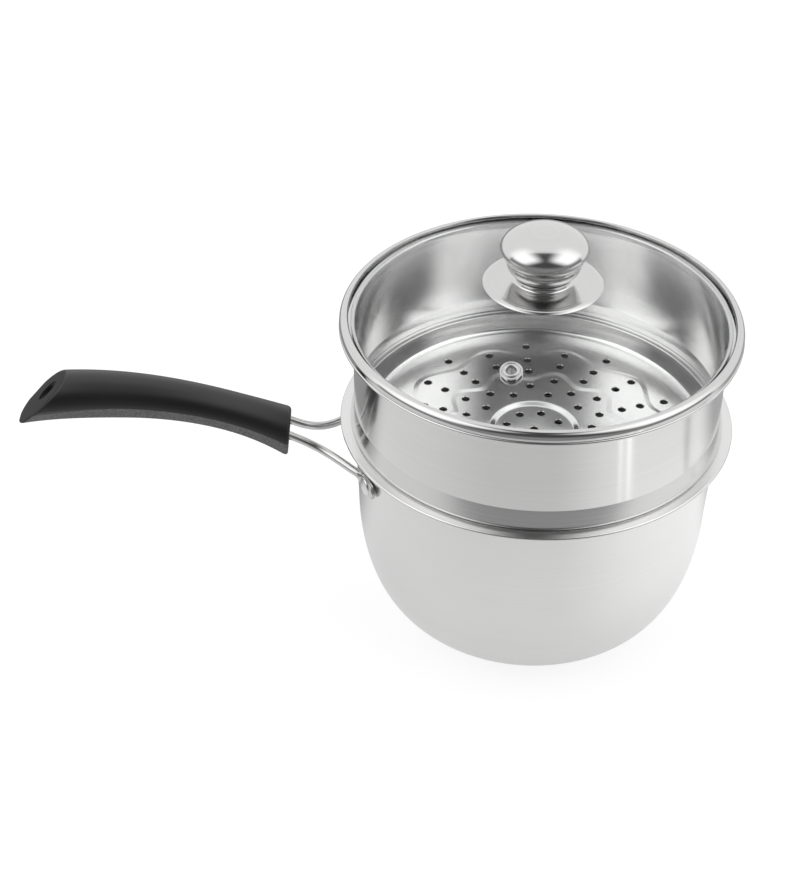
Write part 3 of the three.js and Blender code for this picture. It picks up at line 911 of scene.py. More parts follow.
@dataclass(frozen=True)
class Handle:
    """Wire handle with flattened ends riveted to the pot, and a black grip moulded over its bend."""

    pot: Pot
    lug_turn: float = math.radians(23.4)
    lug_drop: float = 19.4
    lug_nose: float = 8.8
    lug_tail: float = 10.2
    lug_flare: float = 0.35
    lug_pull: float = 19.7
    grip_pull: float = 17.8
    lug_half: float = 4.7
    lug_thick: float = 2.4
    lug_ease: float = 0.1
    lug_square: float = 0.45
    lug_parts: tuple[float, ...] = (1.0, 0.5, 0.0, -0.5)
    nose_blend: float = 2.0
    nose_least: float = 0.2
    nose_thin: float = 0.45
    nose_run: float = 1.2
    twist_run: float = 45.0
    bend_points: int = 9
    hairpin_parts: tuple[float, ...] = (0.33, 0.66, 0.95)
    wire: float = 2.2
    wire_spread: float = 6.8
    wire_over_crease: float = 2.0
    hairpin: float = 61.9
    wire_sides: int = 28
    wire_pitch: float = 1.2
    rivet_shank: float = 2.0
    rivet_head: float = 4.9
    rivet_height: float = 1.6
    rivet_back: float = 4.5
    rivet_back_height: float = 1.0
    rivet_back_foot: float = 0.2
    rivet_back_round: float = 0.5
    rivet_dome_steps: int = 10
    stand: float = 27.5
    bend_run: float = 99.7
    tail_run: float = 44.0
    lift: float = 31.3
    bend_radius: float = 216.0
    half: float = 13.0
    dome: float = 12.0
    below: float = 9.4
    keel_turn: float = 35.0
    keel_power: float = 3.2
    keel_lowest: float = 0.999
    keel_steps: int = 14
    dome_turns: Span = (6.0, 174.0)
    dome_steps: int = 40
    trim_rounds: int = 30
    sharp: float = 30.0
    tip_ease: float = 0.6
    crease_round: float = 0.3
    pot_scale: float = 1.04
    waist_scale: float = 0.86
    tip_scale: float = 1.12
    keel_tip_scale: float = 1.16
    waist_part: float = 0.25
    lean: float = 0.1
    cut_reach: float = 28.2
    tip_land: float = 0.4
    pot_round: float = 2.0
    tip_round: float = 1.6
    round_steps: int = 5
    hole_inset: float = 17.2
    hole_radius: float = 4.3
    hole_stretch: float = 1.2
    hole_cut: float = 40.0
    socket_ease: float = 0.7
    socket_depth: float = 14.0
    socket_over: float = 3.0
    socket_sides: int = 40
    ring_pitch: float = 1.6

    @property
    def lug_z(self) -> float:
        """Height of the rivets."""
        return self.pot.rim_height - self.lug_drop

    @property
    def start_x(self) -> float:
        """Pot end of the grip."""
        return -(self.pot.rim_radius + self.stand)

    @property
    def apex_x(self) -> float:
        """Highest place of the grip's line."""
        return self.start_x - self.bend_run

    @property
    def tip_x(self) -> float:
        """Far end of the grip."""
        return self.apex_x - self.tail_run

    @property
    def crease_z(self) -> float:
        """Height of the crease at its highest place."""
        return self.lug_z + self.lift

    def crease(self, run: float) -> tuple[float, float, float]:
        """Line of the grip's crease.

        Args:
            run: Way along the grip from its pot end.

        Returns:
            X and height of the line and its slope angle.
        """
        turn = math.asin(self.bend_run / self.bend_radius) - run / self.bend_radius
        x = self.apex_x + self.bend_radius * math.sin(turn)
        return x, self.crease_z - self.bend_radius * (1 - math.cos(turn)), turn

    @property
    def length(self) -> float:
        """Way along the grip's crease from end to end."""
        return self.bend_radius * (math.asin(self.bend_run / self.bend_radius)
                                   + math.asin(self.tail_run / self.bend_radius))

    def lug_axes(self, side: int) -> tuple[Vector, Vector]:
        """Directions on the pot wall at a lug.

        Args:
            side: 1 for the front lug, -1 for the rear one.

        Returns:
            The way out of the wall, and the way along it from the grip to the nose.
        """
        angle = math.pi + side * self.lug_turn
        return polar(1.0, angle, 0.0), side * Vector((-math.sin(angle), math.cos(angle), 0.0))

    @property
    def seat(self) -> float:
        """Distance of the lugs' inner face from the axis."""
        return self.pot.wall(self.lug_z + self.lug_half) + self.lug_ease

    def rod(self, side: int) -> list[Vector]:
        """Corner points of one rod from its nose to the bend inside the grip.

        Args:
            side: 1 for the front rod, -1 for the rear one.

        Returns:
            The points in order.
        """
        out, along = self.lug_axes(side)
        spread = -side * self.wire_spread
        seat = out * (self.seat + self.lug_thick / 2) + Z_AXIS * self.lug_z
        tail = seat - along * self.lug_tail
        start = self.in_grip(0.0, spread)
        deeper = self.in_grip(self.socket_depth, spread)
        leave = (out * self.lug_flare - along).normalized() * self.lug_pull
        arrive = (start - deeper).normalized() * self.grip_pull
        points = [seat + along * self.lug_nose * part for part in self.lug_parts]
        points += interpolate_bezier(tail, tail + leave, start + arrive, start, self.bend_points)
        return points + [self.in_grip(self.hairpin * part, spread) for part in self.hairpin_parts]

    def in_grip(self, run: float, y: float) -> Vector:
        """Place of the wire inside the grip.

        Args:
            run: Way along the grip from its pot end.
            y: Distance from the grip's middle plane.

        Returns:
            The place.
        """
        x, z, turn = self.crease(run)
        lift = self.wire_over_crease
        return Vector((x + lift * math.sin(turn), y, z + lift * math.cos(turn)))

    def wire_rings(self) -> list[Ring]:
        """Sections of the wire from nose to nose.

        Returns:
            Rings of points, flat at the lugs and round between them.
        """
        corners = [*self.rod(1), self.in_grip(self.hairpin + self.wire_spread, 0.0), *reversed(self.rod(-1))]
        line = spline(corners, self.wire_pitch)
        lengths = [0.0]
        for a, b in zip(line, line[1:]):
            lengths.append(lengths[-1] + (b - a).length)
        total = lengths[-1]
        turns = [math.tau * i / self.wire_sides for i in range(self.wire_sides)]
        rings = []
        for index, (point, length) in enumerate(zip(line, lengths)):
            before = line[max(index - 1, 0)]
            after = line[min(index + 1, len(line) - 1)]
            tangent = (after - before).normalized()
            side = 1 if length < total / 2 else -1
            from_nose = min(length, total - length)
            out, _ = self.lug_axes(side)
            round_part = ease(from_nose, self.lug_nose + self.nose_blend, self.lug_nose + self.lug_tail)
            hint = out.lerp(Z_AXIS, ease(from_nose, self.lug_nose + self.lug_tail, self.twist_run))
            normal = (hint - tangent * hint.dot(tangent)).normalized()
            across = normal.cross(tangent)
            nose_in = max(self.lug_half - from_nose, 0.0)
            plan = max(math.sqrt(self.lug_half ** 2 - nose_in ** 2), self.nose_least)
            wide = plan + (self.wire - plan) * round_part
            thin = 1 - self.nose_thin + self.nose_thin * ease(from_nose, 0.0, self.nose_run)
            thick = self.lug_thick / 2 * thin
            thick += (self.wire - thick) * round_part
            power = self.lug_square + (1 - self.lug_square) * round_part
            rings.append([point + across * wide * self.boxed(math.cos(turn), power)
                          + normal * thick * self.boxed(math.sin(turn), power) for turn in turns])
        return rings

    @staticmethod
    def boxed(value: float, power: float) -> float:
        """Squares up a round section by a power below 1."""
        return math.copysign(abs(value) ** power, value)

    def rivet(self, side: int) -> BMesh:
        """Rivet with a domed head outside and a flat one inside the pot.

        Args:
            side: 1 for the front rivet, -1 for the rear one.

        Returns:
            The rivet in its place.
        """
        back = self.pot.wall(self.lug_z - self.lug_half) - SHEET - self.lug_ease - self.seat
        dome = arc(0.0, 0.0, 1.0, 90.0, 0.0, self.rivet_dome_steps)
        outline = Outline(0.0, self.lug_thick + self.rivet_height)
        outline.along((r * self.rivet_head, self.lug_thick + z * self.rivet_height) for r, z in dome[1:])
        outline.to(self.rivet_shank, self.lug_thick)
        outline.to(self.rivet_shank, back)
        outline.to(self.rivet_back, back, self.rivet_back_foot)
        outline.to(self.rivet_back, back - self.rivet_back_height, self.rivet_back_round)
        outline.to(0.0, back - self.rivet_back_height)
        out, along = self.lug_axes(side)
        place = Matrix((along * side, Z_AXIS, out)).transposed().to_4x4()
        place.translation = (out * self.seat + Z_AXIS * self.lug_z) * MM
        bm = moved(spin(outline.points(), STUD_STEPS), place)
        bmesh.ops.recalc_face_normals(bm, faces=bm.faces)
        return bm

    def section(self) -> list[Vector]:
        """Section of the grip: a dome over a crease, and a rounded keel below it.

        Returns:
            Points of the closed line, with the crease at height 0.
        """
        square = 2 / self.keel_power
        keel = [(self.half * max(r, 0.0) ** square, -self.below * (-z) ** square)
                for r, z in arc(0.0, 0.0, 1.0, -90.0, -self.keel_turn, self.keel_steps)]
        dome = [(self.half * r, self.dome * z)
                for r, z in arc(0.0, 0.0, 1.0, *self.dome_turns, self.dome_steps)]
        outline = Outline(0.0, -self.below).along(keel[1:])
        outline.to(self.half, 0.0, self.crease_round)
        outline.along(dome)
        outline.to(-self.half, 0.0, self.crease_round)
        outline.along((-r, z) for r, z in reversed(keel[1:]))
        return outline.points(close=True)[:-1]

    def scale(self, part: float, tip: float) -> float:
        """Scale of the section, with its narrow waist near the pot.

        Args:
            part: Place as a part of the grip's length.
            tip: Scale at the far end.

        Returns:
            The scale at that place.
        """
        if part < self.waist_part:
            return self.waist_scale + (self.pot_scale - self.waist_scale) * (1 - part / self.waist_part) ** 2
        return self.waist_scale + (tip - self.waist_scale) * ease(part, self.waist_part, 1.0)

    def skin(self, run: float, spot: Vector) -> Vector:
        """Place of a spot of the section at a way along the grip.

        Args:
            run: Way along the grip from its pot end.
            spot: Spot of the section.

        Returns:
            The place on the grip.
        """
        part = max(run, 0.0) / self.length
        upper = self.scale(part, self.tip_scale)
        lower = self.scale(part, self.keel_tip_scale)
        scale = upper + (lower - upper) * max(-spot.y / self.below, 0.0)
        x, z, turn = self.crease(run)
        rise = spot.y * scale
        across = spot.x * scale * self.narrowing(spot, part)
        return Vector((x + rise * math.sin(turn), across, z + rise * math.cos(turn)))

    def narrowing(self, spot: Vector, part: float) -> float:
        """Share of a keel spot's width that is left where the keel turns rounder towards the far end.

        Args:
            spot: Spot of the section.
            part: Place as a part of the grip's length.

        Returns:
            1 for the full width, and less on the rounder keel.
        """
        down = min(max(-spot.y / self.below, 0.0), self.keel_lowest)
        square = (1 - down ** self.keel_power) ** (1 / self.keel_power)
        oval = math.sqrt(1 - down ** 2)
        return 1 + (oval / square - 1) * ease(part, self.tip_ease, 1.0)

    def trim(self, spot: Vector, low: float, high: float, edge: Callable[[float], float]) -> float:
        """Way along the grip at which a spot of the section reaches an end face.

        Args:
            spot: Spot of the section.
            low: Way before the end face.
            high: Way beyond it.
            edge: X of the end face at a height.

        Returns:
            The way where they meet.
        """
        for _ in range(self.trim_rounds):
            middle = (low + high) / 2
            place = self.skin(middle, spot)
            if place.x > edge(place.z):
                low = middle
            else:
                high = middle
        return low

    def ends(self, spot: Vector) -> Span:
        """Ways along the grip at which a spot of the section starts and stops.

        Args:
            spot: Spot of the section.

        Returns:
            The way at the pot end, and that at the slanted far end.
        """
        start_x, start_z, _ = self.crease(0.0)
        tip_x, low, slope = self.far_cut()
        first = self.trim(spot, -self.half, self.half, lambda z: start_x + self.lean * (z - start_z))
        last = self.trim(spot, self.length / 2, self.length + self.half, lambda z: tip_x + slope * (z - low))
        return first, last

    def far_cut(self) -> tuple[float, float, float]:
        """Slanted far end of the grip.

        Returns:
            X and height of its foot, and its slope.
        """
        tip_x, tip_z, _ = self.crease(self.length)
        low = tip_z - self.below * self.keel_tip_scale + self.tip_land
        return tip_x, low, self.cut_reach / (self.crease_z + self.dome * self.tip_scale - low)

    def finish(self) -> PhenolicFinish:
        """Finish of the grip.

        Returns:
            The finish, set to the grip's crease and its slanted end.
        """
        tip_x, low, slope = self.far_cut()
        centre = (self.apex_x * MM, (self.crease_z - self.bend_radius) * MM)
        return PhenolicFinish("black_phenolic", centre, self.bend_radius * MM, (tip_x * MM, low * MM, slope))

    def grip_rings(self) -> list[Ring]:
        """Sections of the grip from the rounded pot end to the rounded far end.

        Returns:
            Rings of points, slanting over from one end to the other.
        """
        count = round(self.length / self.ring_pitch)
        quarter = [math.pi / 2 * i / self.round_steps for i in range(self.round_steps + 1)]
        places = [(0.0, self.pot_round, turn) for turn in quarter]
        places += [(i / count, 0.0, 0.0) for i in range(2, count - 1)]
        places += [(1.0, -self.tip_round, turn) for turn in reversed(quarter)]
        rings = []
        for part, rounding, turn in places:
            spots = [self.inset(spot, abs(rounding) * (1 - math.sin(turn))) for spot in self.section()]
            shift = rounding * (1 - math.cos(turn))
            ways = [self.ends(spot) for spot in spots]
            rings.append([self.skin(first + (last - first) * part + shift, spot)
                          for spot, (first, last) in zip(spots, ways)])
        return rings

    @staticmethod
    def inset(spot: Vector, depth: float) -> Vector:
        """Moves a spot of the section in by a depth."""
        return spot * (1 - depth / max(spot.length, depth))

    def hole_cutter(self) -> BMesh:
        """Cutter for the hanging hole.

        Returns:
            An oval cylinder in its place.
        """
        stretch = Matrix.Diagonal((self.hole_stretch, 1.0, 1.0, 1.0))
        place = Matrix.Translation(Vector((self.tip_x + self.hole_inset, 0.0, self.crease_z)) * MM)
        return moved(cylinder(self.hole_radius, -self.hole_cut, self.hole_cut), place @ stretch)

    def socket_cutter(self, side: int) -> BMesh:
        """Cutter for the hole that a rod goes into.

        Args:
            side: 1 for the front rod, -1 for the rear one.

        Returns:
            A cylinder in its place.
        """
        radius = self.wire + self.socket_ease
        bm = cylinder(radius, -self.socket_depth, self.socket_over, self.socket_sides)
        start = self.in_grip(0.0, -side * self.wire_spread)
        deeper = self.in_grip(self.socket_depth, -side * self.wire_spread)
        turn = (start - deeper).to_track_quat("Z", "Y").to_matrix().to_4x4()
        return moved(bm, Matrix.Translation(start * MM) @ turn)

    def build(self, finishes: Finishes) -> None:
        """Makes the wire, the rivets and the grip.

        Args:
            finishes: Materials of the object.
        """
        wire = to_object("handle_rod", loft(self.wire_rings()))
        dress(wire, finishes.wire, Body.POT, Slot.POLISHED, "handle_wire")
        for side, name in ((1, "front"), (-1, "rear")):
            rivet = to_object(f"rivet_head_{name}", self.rivet(side))
            dress(rivet, finishes.satin, Body.POT, Slot.POLISHED, f"rivet_{name}")
        grip = to_object("grip_moulding", loft(self.grip_rings()), self.sharp)
        for cutter in (self.hole_cutter(), self.socket_cutter(1), self.socket_cutter(-1)):
            carve(grip, cutter, self.sharp)
        dress(grip, finishes.phenolic, Body.POT, Slot.PHENOLIC, "grip")


@dataclass(frozen=True)
class Basket:
    """Pressed steamer basket with a pierced floor."""

    pot: Pot
    height: float = 57.8
    wall_inset: float = 0.4
    rim_inset: float = 0.3
    band_reach: float = 2.0
    band_height: float = 11.1
    band_toe: float = 2.0
    plug_gap: float = 1.0
    plug_taper: float = 2.4
    plug_bend: float = 0.5
    plug_drop: float = 0.2
    plug_step: float = 0.4
    toe_round: float = 0.9
    toe_edge: float = 0.3
    wall_bend: float = 0.6
    depth: float = 9.6
    corner_reach: float = 3.4
    corner_rise: float = 3.2
    corner_power: float = 2.0
    corner_steps: int = 8
    ring_pitch: float = 3.0
    lobes: int = 10
    sway: float = 3.5
    sway_start: float = 4.0
    sway_full: float = 38.0
    sway_fade: Span = (76.0, 86.0)
    sway_margin: float = 8.0
    sway_over: float = 1.0
    inner: float = 47.0
    outer: float = 70.0
    edge: float = 1.5
    rise: float = 0.42
    dish: float = 21.0
    dish_edge: float = 2.5
    dish_drop: float = 1.2
    press_round: float = 2.2
    hole: float = 2.15
    hole_flare: float = 0.15
    hole_below: float = 4.0
    hole_above: float = 2.0
    hole_sides: int = 20
    ring_radius: float = 15.0
    ring_count: int = 8
    ring_turn: float = math.radians(27.0)
    lobe_rows: tuple[float, ...] = (30.5, 43.9, 57.4, 68.8)
    valley_rows: tuple[float, ...] = (37.4, 50.4, 61.0, 75.0)
    rim: Rim = Rim()

    @property
    def wall(self) -> float:
        """Outside radius of the wall."""
        return self.pot.mouth - self.wall_inset

    @property
    def rim_height(self) -> float:
        """Top of the rim."""
        return self.pot.rim_height + self.height

    @property
    def rim_radius(self) -> float:
        """Outer edge of the rim."""
        return self.pot.rim_radius - self.rim_inset

    @property
    def floor_top(self) -> float:
        """Upper side of the plain floor."""
        return self.pot.rim_height - self.depth + SHEET

    def outline(self) -> list[Vector]:
        """Inside line of the sheet.

        Returns:
            Points from the middle of the floor to the rim.
        """
        top = self.floor_top
        presses = (
            (self.dish, self.dish + self.dish_edge, top),
            (self.inner - self.edge, self.inner + self.edge, top + self.rise),
            (self.outer - self.edge, self.outer + self.edge, top),
        )
        radius, height = 0.0, top - self.dish_drop
        outline = Outline(radius, height)
        for flat_end, step_end, level in presses:
            self.plain(outline, radius, flat_end, height)
            outline.to(flat_end, height, self.press_round)
            outline.to(step_end, level, self.press_round)
            radius, height = step_end, level
        plug = self.pot.mouth - self.plug_gap - 2 * SHEET
        corner = plug - self.plug_taper - self.corner_reach
        self.plain(outline, radius, corner, top)
        outline.along(turn_up(corner, top, self.corner_reach, self.corner_rise, self.corner_power,
                              self.corner_steps))
        foot = self.pot.rim_height + SHEET
        toe = self.wall + self.band_reach - SHEET
        outline.to(plug, foot - self.plug_drop, self.plug_bend)
        outline.to(plug + self.plug_step, foot, self.plug_step)
        outline.to(toe, foot, self.toe_round)
        outline.to(toe, foot + self.band_toe - SHEET, self.toe_edge)
        outline.to(self.wall - SHEET, self.pot.rim_height + self.band_height, self.wall_bend)
        self.rim.draw(outline, self.wall - SHEET, self.rim_radius, self.rim_height)
        return outline.points()

    def plain(self, outline: Outline, start: float, end: float, height: float) -> None:
        """Adds rings on a flat so that its faces stay small.

        Args:
            outline: Outline that has come to the flat.
            start: Radius where the flat starts.
            end: Radius where it ends.
            height: Height of the flat.
        """
        count = max(2, round((end - start) / self.ring_pitch))
        for i in range(1, count):
            outline.to(start + (end - start) * i / count, height)

    def swing(self, radius: float, angle: float) -> float:
        """Way that the lobed edges swing out at a place on the floor.

        Args:
            radius: Radius of the place.
            angle: Angle of the place.

        Returns:
            The way out, or in when negative.
        """
        share = ease(radius, self.dish + self.sway_start, self.sway_full)
        share *= 1 - ease(radius, *self.sway_fade)
        return self.sway * math.cos(self.lobes * angle) * share

    def sway_lobes(self, bm: BMesh) -> None:
        """Swings the floor's rings in and out to make the lobes.

        Args:
            bm: Basket in the making.
        """
        reach = (self.wall - self.sway_margin) * MM
        level = (self.floor_top + self.rise + self.sway_over) * MM
        for vert in bm.verts:
            radius = math.hypot(vert.co.x, vert.co.y)
            if 0 < radius < reach and vert.co.z < level:
                swing = self.swing(radius / MM, math.atan2(vert.co.y, vert.co.x)) * MM
                vert.co.xy *= 1 + swing / radius

    def holes(self) -> list[Spot]:
        """Places of the holes in the floor.

        Returns:
            Radius and angle of each hole.
        """
        places = [(0.0, 0.0)]
        for i in range(self.ring_count):
            places.append((self.ring_radius, self.ring_turn + math.tau * i / self.ring_count))
        for i in range(self.lobes):
            lobe = math.tau * i / self.lobes
            places += [(r, lobe) for r in self.lobe_rows]
            places += [(r, lobe + math.pi / self.lobes) for r in self.valley_rows]
        return places

    def level(self, radius: float, angle: float) -> float:
        """Height of the floor's upper side at a place.

        Args:
            radius: Radius of the place.
            angle: Angle of the place.

        Returns:
            The height.
        """
        flat = radius - self.swing(radius, angle)
        if flat < self.dish + self.dish_edge / 2:
            return self.floor_top - self.dish_drop
        raised = self.inner < flat < self.outer
        return self.floor_top + (self.rise if raised else 0.0)

    def hole_cutter(self) -> BMesh:
        """Cutter for all holes in the floor.

        Returns:
            Cylinders with a small flare on the upper side.
        """
        wide = self.hole + 2 * self.hole_flare
        steps = ((self.hole, -self.hole_below), (self.hole, -self.hole_flare),
                 (wide, self.hole_flare), (wide, self.hole_above))
        turns = [math.tau * i / self.hole_sides for i in range(self.hole_sides)]
        bm = loft([[polar(radius, turn, rise) for turn in turns] for radius, rise in steps])
        shape = bm.verts[:] + bm.edges[:] + bm.faces[:]
        for radius, angle in self.holes():
            copy = bmesh.ops.duplicate(bm, geom=shape)["geom"]
            place = polar(radius, angle, self.level(radius, angle))
            bmesh.ops.translate(bm, verts=[item for item in copy if isinstance(item, bmesh.types.BMVert)],
                                vec=place * MM)
        bmesh.ops.delete(bm, geom=[item for item in shape if isinstance(item, bmesh.types.BMVert)])
        bmesh.ops.recalc_face_normals(bm, faces=bm.faces)
        return bm

    def build(self, finishes: Finishes) -> None:
        """Spins the basket, presses its lobes and pierces its floor.

        Args:
            finishes: Materials of the object.
        """
        bm = spin(self.outline(), RING_STEPS)
        self.sway_lobes(bm)
        thicken(bm, SHEET)
        basket = to_object("steamer_shell", bm)
        carve(basket, self.hole_cutter())
        dress(basket, finishes.polished, Body.BASKET, Slot.POLISHED, "steamer_basket")
        # The basket's inside gets the brighter steel: painted light.
        line(basket, finishes.bowl, self.pot.rim_height + self.height / 2, self.wall)


@dataclass(frozen=True)
class Lid:
    """Domed glass held in a steel band, with a steam vent."""

    basket: Basket
    clear: float = 0.3
    dome_radius: float = 230.0
    thick: float = 3.5
    rim_thick: float = 2.4
    edge_thick: float = 2.5
    rim_ease: float = 0.8
    rim_round: float = 0.8
    thin_power: int = 4
    glass_steps: int = 36
    ledge: float = 4.67
    ledge_round: float = 0.6
    bore: float = 4.2
    band_sheet: float = 0.5
    band_inset: float = 0.2
    band_height: float = 5.0
    band_roll: float = 3.4
    band_turn: float = 100.0
    roll_steps: int = 12
    inner_roll_steps: int = 8
    bend_steps: int = 6
    inner_bend_steps: int = 4
    lip_reach: float = 4.6
    seat_gap: float = 0.05
    skirt_gap: float = 0.6
    skirt_drop: float = 4.0
    band_round: float = 0.8
    vent_inset: float = 29.1
    vent_turn: float = math.radians(-106.25)
    vent_hole: float = 2.5
    vent_barrel: float = 4.1
    vent_flange: float = 5.6
    vent_flange_height: float = 0.6
    vent_collar: float = 1.0
    vent_lip: float = 3.9
    vent_groove: float = 0.25
    vent_groove_reach: tuple[float, float, float] = (0.8, 0.5, 0.1)
    vent_groove_round: float = 0.25
    vent_collar_round: float = 0.4
    vent_mouth_round: float = 0.5
    vent_flange_foot: float = 0.1
    vent_flange_round: float = 0.35
    vent_washer: float = 5.6
    vent_washer_thick: float = 1.0
    vent_flare: float = 0.9
    vent_flare_draft: float = 0.1
    vent_flare_foot: float = 0.4
    vent_flare_round: float = 0.3
    vent_cut: float = 9.0

    @property
    def band_radius(self) -> float:
        """Outside of the band's wall."""
        return self.basket.rim_radius - self.band_inset

    @property
    def rim_foot(self) -> float:
        """Underside of the glass rim."""
        return self.basket.rim_height + self.band_sheet + self.clear

    @property
    def rim_top(self) -> float:
        """Upper side of the glass rim."""
        return self.rim_foot + self.rim_thick

    @property
    def rim_radius(self) -> float:
        """Edge of the glass inside the band."""
        return self.band_radius - self.band_sheet - self.rim_ease

    @property
    def dome_edge(self) -> float:
        """Radius where the dome meets the flat rim."""
        return self.rim_radius - self.ledge

    @property
    def centre_z(self) -> float:
        """Centre of the dome's sphere."""
        return self.rim_top - math.sqrt(self.dome_radius ** 2 - self.dome_edge ** 2)

    @property
    def top(self) -> float:
        """Highest point of the glass."""
        return self.centre_z + self.dome_radius

    def dome(self, radius: float, inset: float = 0.0) -> float:
        """Height of the dome at a radius, or of its underside with the thickness as inset."""
        return self.centre_z + math.sqrt((self.dome_radius - inset) ** 2 - radius ** 2)

    def glass(self) -> BMesh:
        """Glass with a bored middle and a flat rim.

        Returns:
            The glass without the vent's hole.
        """
        foot = math.sqrt((self.dome_radius - self.edge_thick) ** 2 - (self.rim_foot - self.centre_z) ** 2)
        count = self.glass_steps
        rounds = [0.0] * count + [self.ledge_round]
        outline = Outline(self.bore, self.dome(self.bore, self.thick))
        for i in range(1, count + 1):
            radius = self.bore + (foot - self.bore) * i / count
            thick = self.thick + (self.edge_thick - self.thick) * (radius / foot) ** self.thin_power
            outline.to(radius, self.dome(radius, thick), rounds[i])
        outline.to(self.rim_radius, self.rim_foot, self.rim_round)
        outline.to(self.rim_radius, self.rim_top, self.rim_round)
        for i in range(count, -1, -1):
            radius = self.bore + (self.dome_edge - self.bore) * i / count
            outline.to(radius, self.dome(radius), rounds[i])
        return spin(outline.points(close=True), RING_STEPS)

    def band(self) -> BMesh:
        """Band with a rolled crest, a floor under the glass and a skirt in the basket's mouth.

        Returns:
            The band.
        """
        base = self.basket.rim_height + self.seat_gap
        roll_r = self.band_radius - self.band_roll
        roll_z = base + self.band_height - self.band_roll
        lip = self.band_radius - self.lip_reach
        lip_z = self.rim_top + self.clear
        toe_r = self.band_radius - self.band_round
        toe_z = base + self.band_round
        skirt = self.basket.wall - SHEET - self.skirt_gap
        bend_r = skirt + self.band_round
        bend_z = base - self.band_round
        foot = base - self.skirt_drop
        sheet = self.band_sheet
        outline = Outline(lip, lip_z + sheet)
        outline.along(arc(roll_r, roll_z, self.band_roll, self.band_turn, 0, self.roll_steps))
        outline.along(arc(toe_r, toe_z, self.band_round, 0, -90, self.bend_steps))
        outline.along(arc(bend_r, bend_z, self.band_round, 90, 180, self.bend_steps))
        outline.to(skirt, foot).to(skirt - sheet, foot)
        outline.along(arc(bend_r, bend_z, self.band_round + sheet, 180, 90, self.bend_steps))
        outline.along(arc(toe_r, toe_z, self.band_round - sheet, -90, 0, self.inner_bend_steps))
        outline.along(arc(roll_r, roll_z, self.band_roll - sheet, 0, self.band_turn, self.inner_roll_steps))
        outline.to(lip, lip_z)
        return spin(outline.points(close=True), RING_STEPS)

    def at_vent(self, bm: BMesh) -> BMesh:
        """Takes a mesh in the making to the vent, tilted with the dome.

        Args:
            bm: Mesh round the z axis, with the outside of the glass at height 0.

        Returns:
            The same mesh.
        """
        radius = self.dome_edge - self.vent_inset
        place = polar(radius, self.vent_turn, self.dome(radius))
        tilt = (place - Z_AXIS * self.centre_z).to_track_quat("Z", "Y").to_matrix().to_4x4()
        return moved(bm, Matrix.Translation(place * MM) @ tilt)

    def eyelet(self) -> BMesh:
        """Eyelet with a stepped collar over the glass, clenched below it.

        Returns:
            The eyelet in its place.
        """
        foot = -self.thick - self.clear - self.vent_washer_thick
        flare = self.vent_barrel + self.vent_flare
        crest, wall, floor = (self.vent_lip + reach for reach in self.vent_groove_reach)
        outline = Outline(self.vent_hole, foot - self.vent_flare)
        outline.to(flare, foot - self.vent_flare, self.vent_flare_foot)
        outline.to(flare, foot - self.vent_flare_draft, self.vent_flare_round)
        outline.to(self.vent_barrel, foot).to(self.vent_barrel, self.clear / 2)
        outline.to(self.vent_flange, self.clear / 2, self.vent_flange_foot)
        outline.to(self.vent_flange, self.vent_flange_height, self.vent_flange_round)
        outline.to(crest, self.vent_flange_height, self.vent_groove_round)
        outline.to(wall, self.vent_groove).to(floor, self.vent_groove)
        outline.to(self.vent_lip, self.vent_collar, self.vent_collar_round)
        outline.to(self.vent_hole, self.vent_collar, self.vent_mouth_round)
        return self.at_vent(spin(outline.points(close=True), SMALL_STEPS))

    def washer(self) -> BMesh:
        """Washer under the glass that the eyelet is clenched over.

        Returns:
            The washer in its place.
        """
        top = -self.thick - self.clear
        bore = self.vent_barrel + self.clear
        return self.at_vent(flat_ring(bore, self.vent_washer, top - self.vent_washer_thick, top))

    def build(self, finishes: Finishes) -> None:
        """Makes the glass, its band and the vent.

        Args:
            finishes: Materials of the object.
        """
        glass = to_object("lid_dome", self.glass())
        carve(glass, self.at_vent(cylinder(self.vent_barrel + self.clear, -self.vent_cut, self.vent_cut)))
        dress(glass, finishes.glass, Body.LID, Slot.GLASS, "lid_glass")
        for name, bm, material, node in (
                ("lid_rim_band", self.band(), finishes.band, "lid_band"),
                ("steam_eyelet", self.eyelet(), finishes.wire, "vent_eyelet"),
                ("steam_washer", self.washer(), finishes.wire, "vent_washer")):
            dress(to_object(name, bm), material, Body.LID, Slot.POLISHED, node)


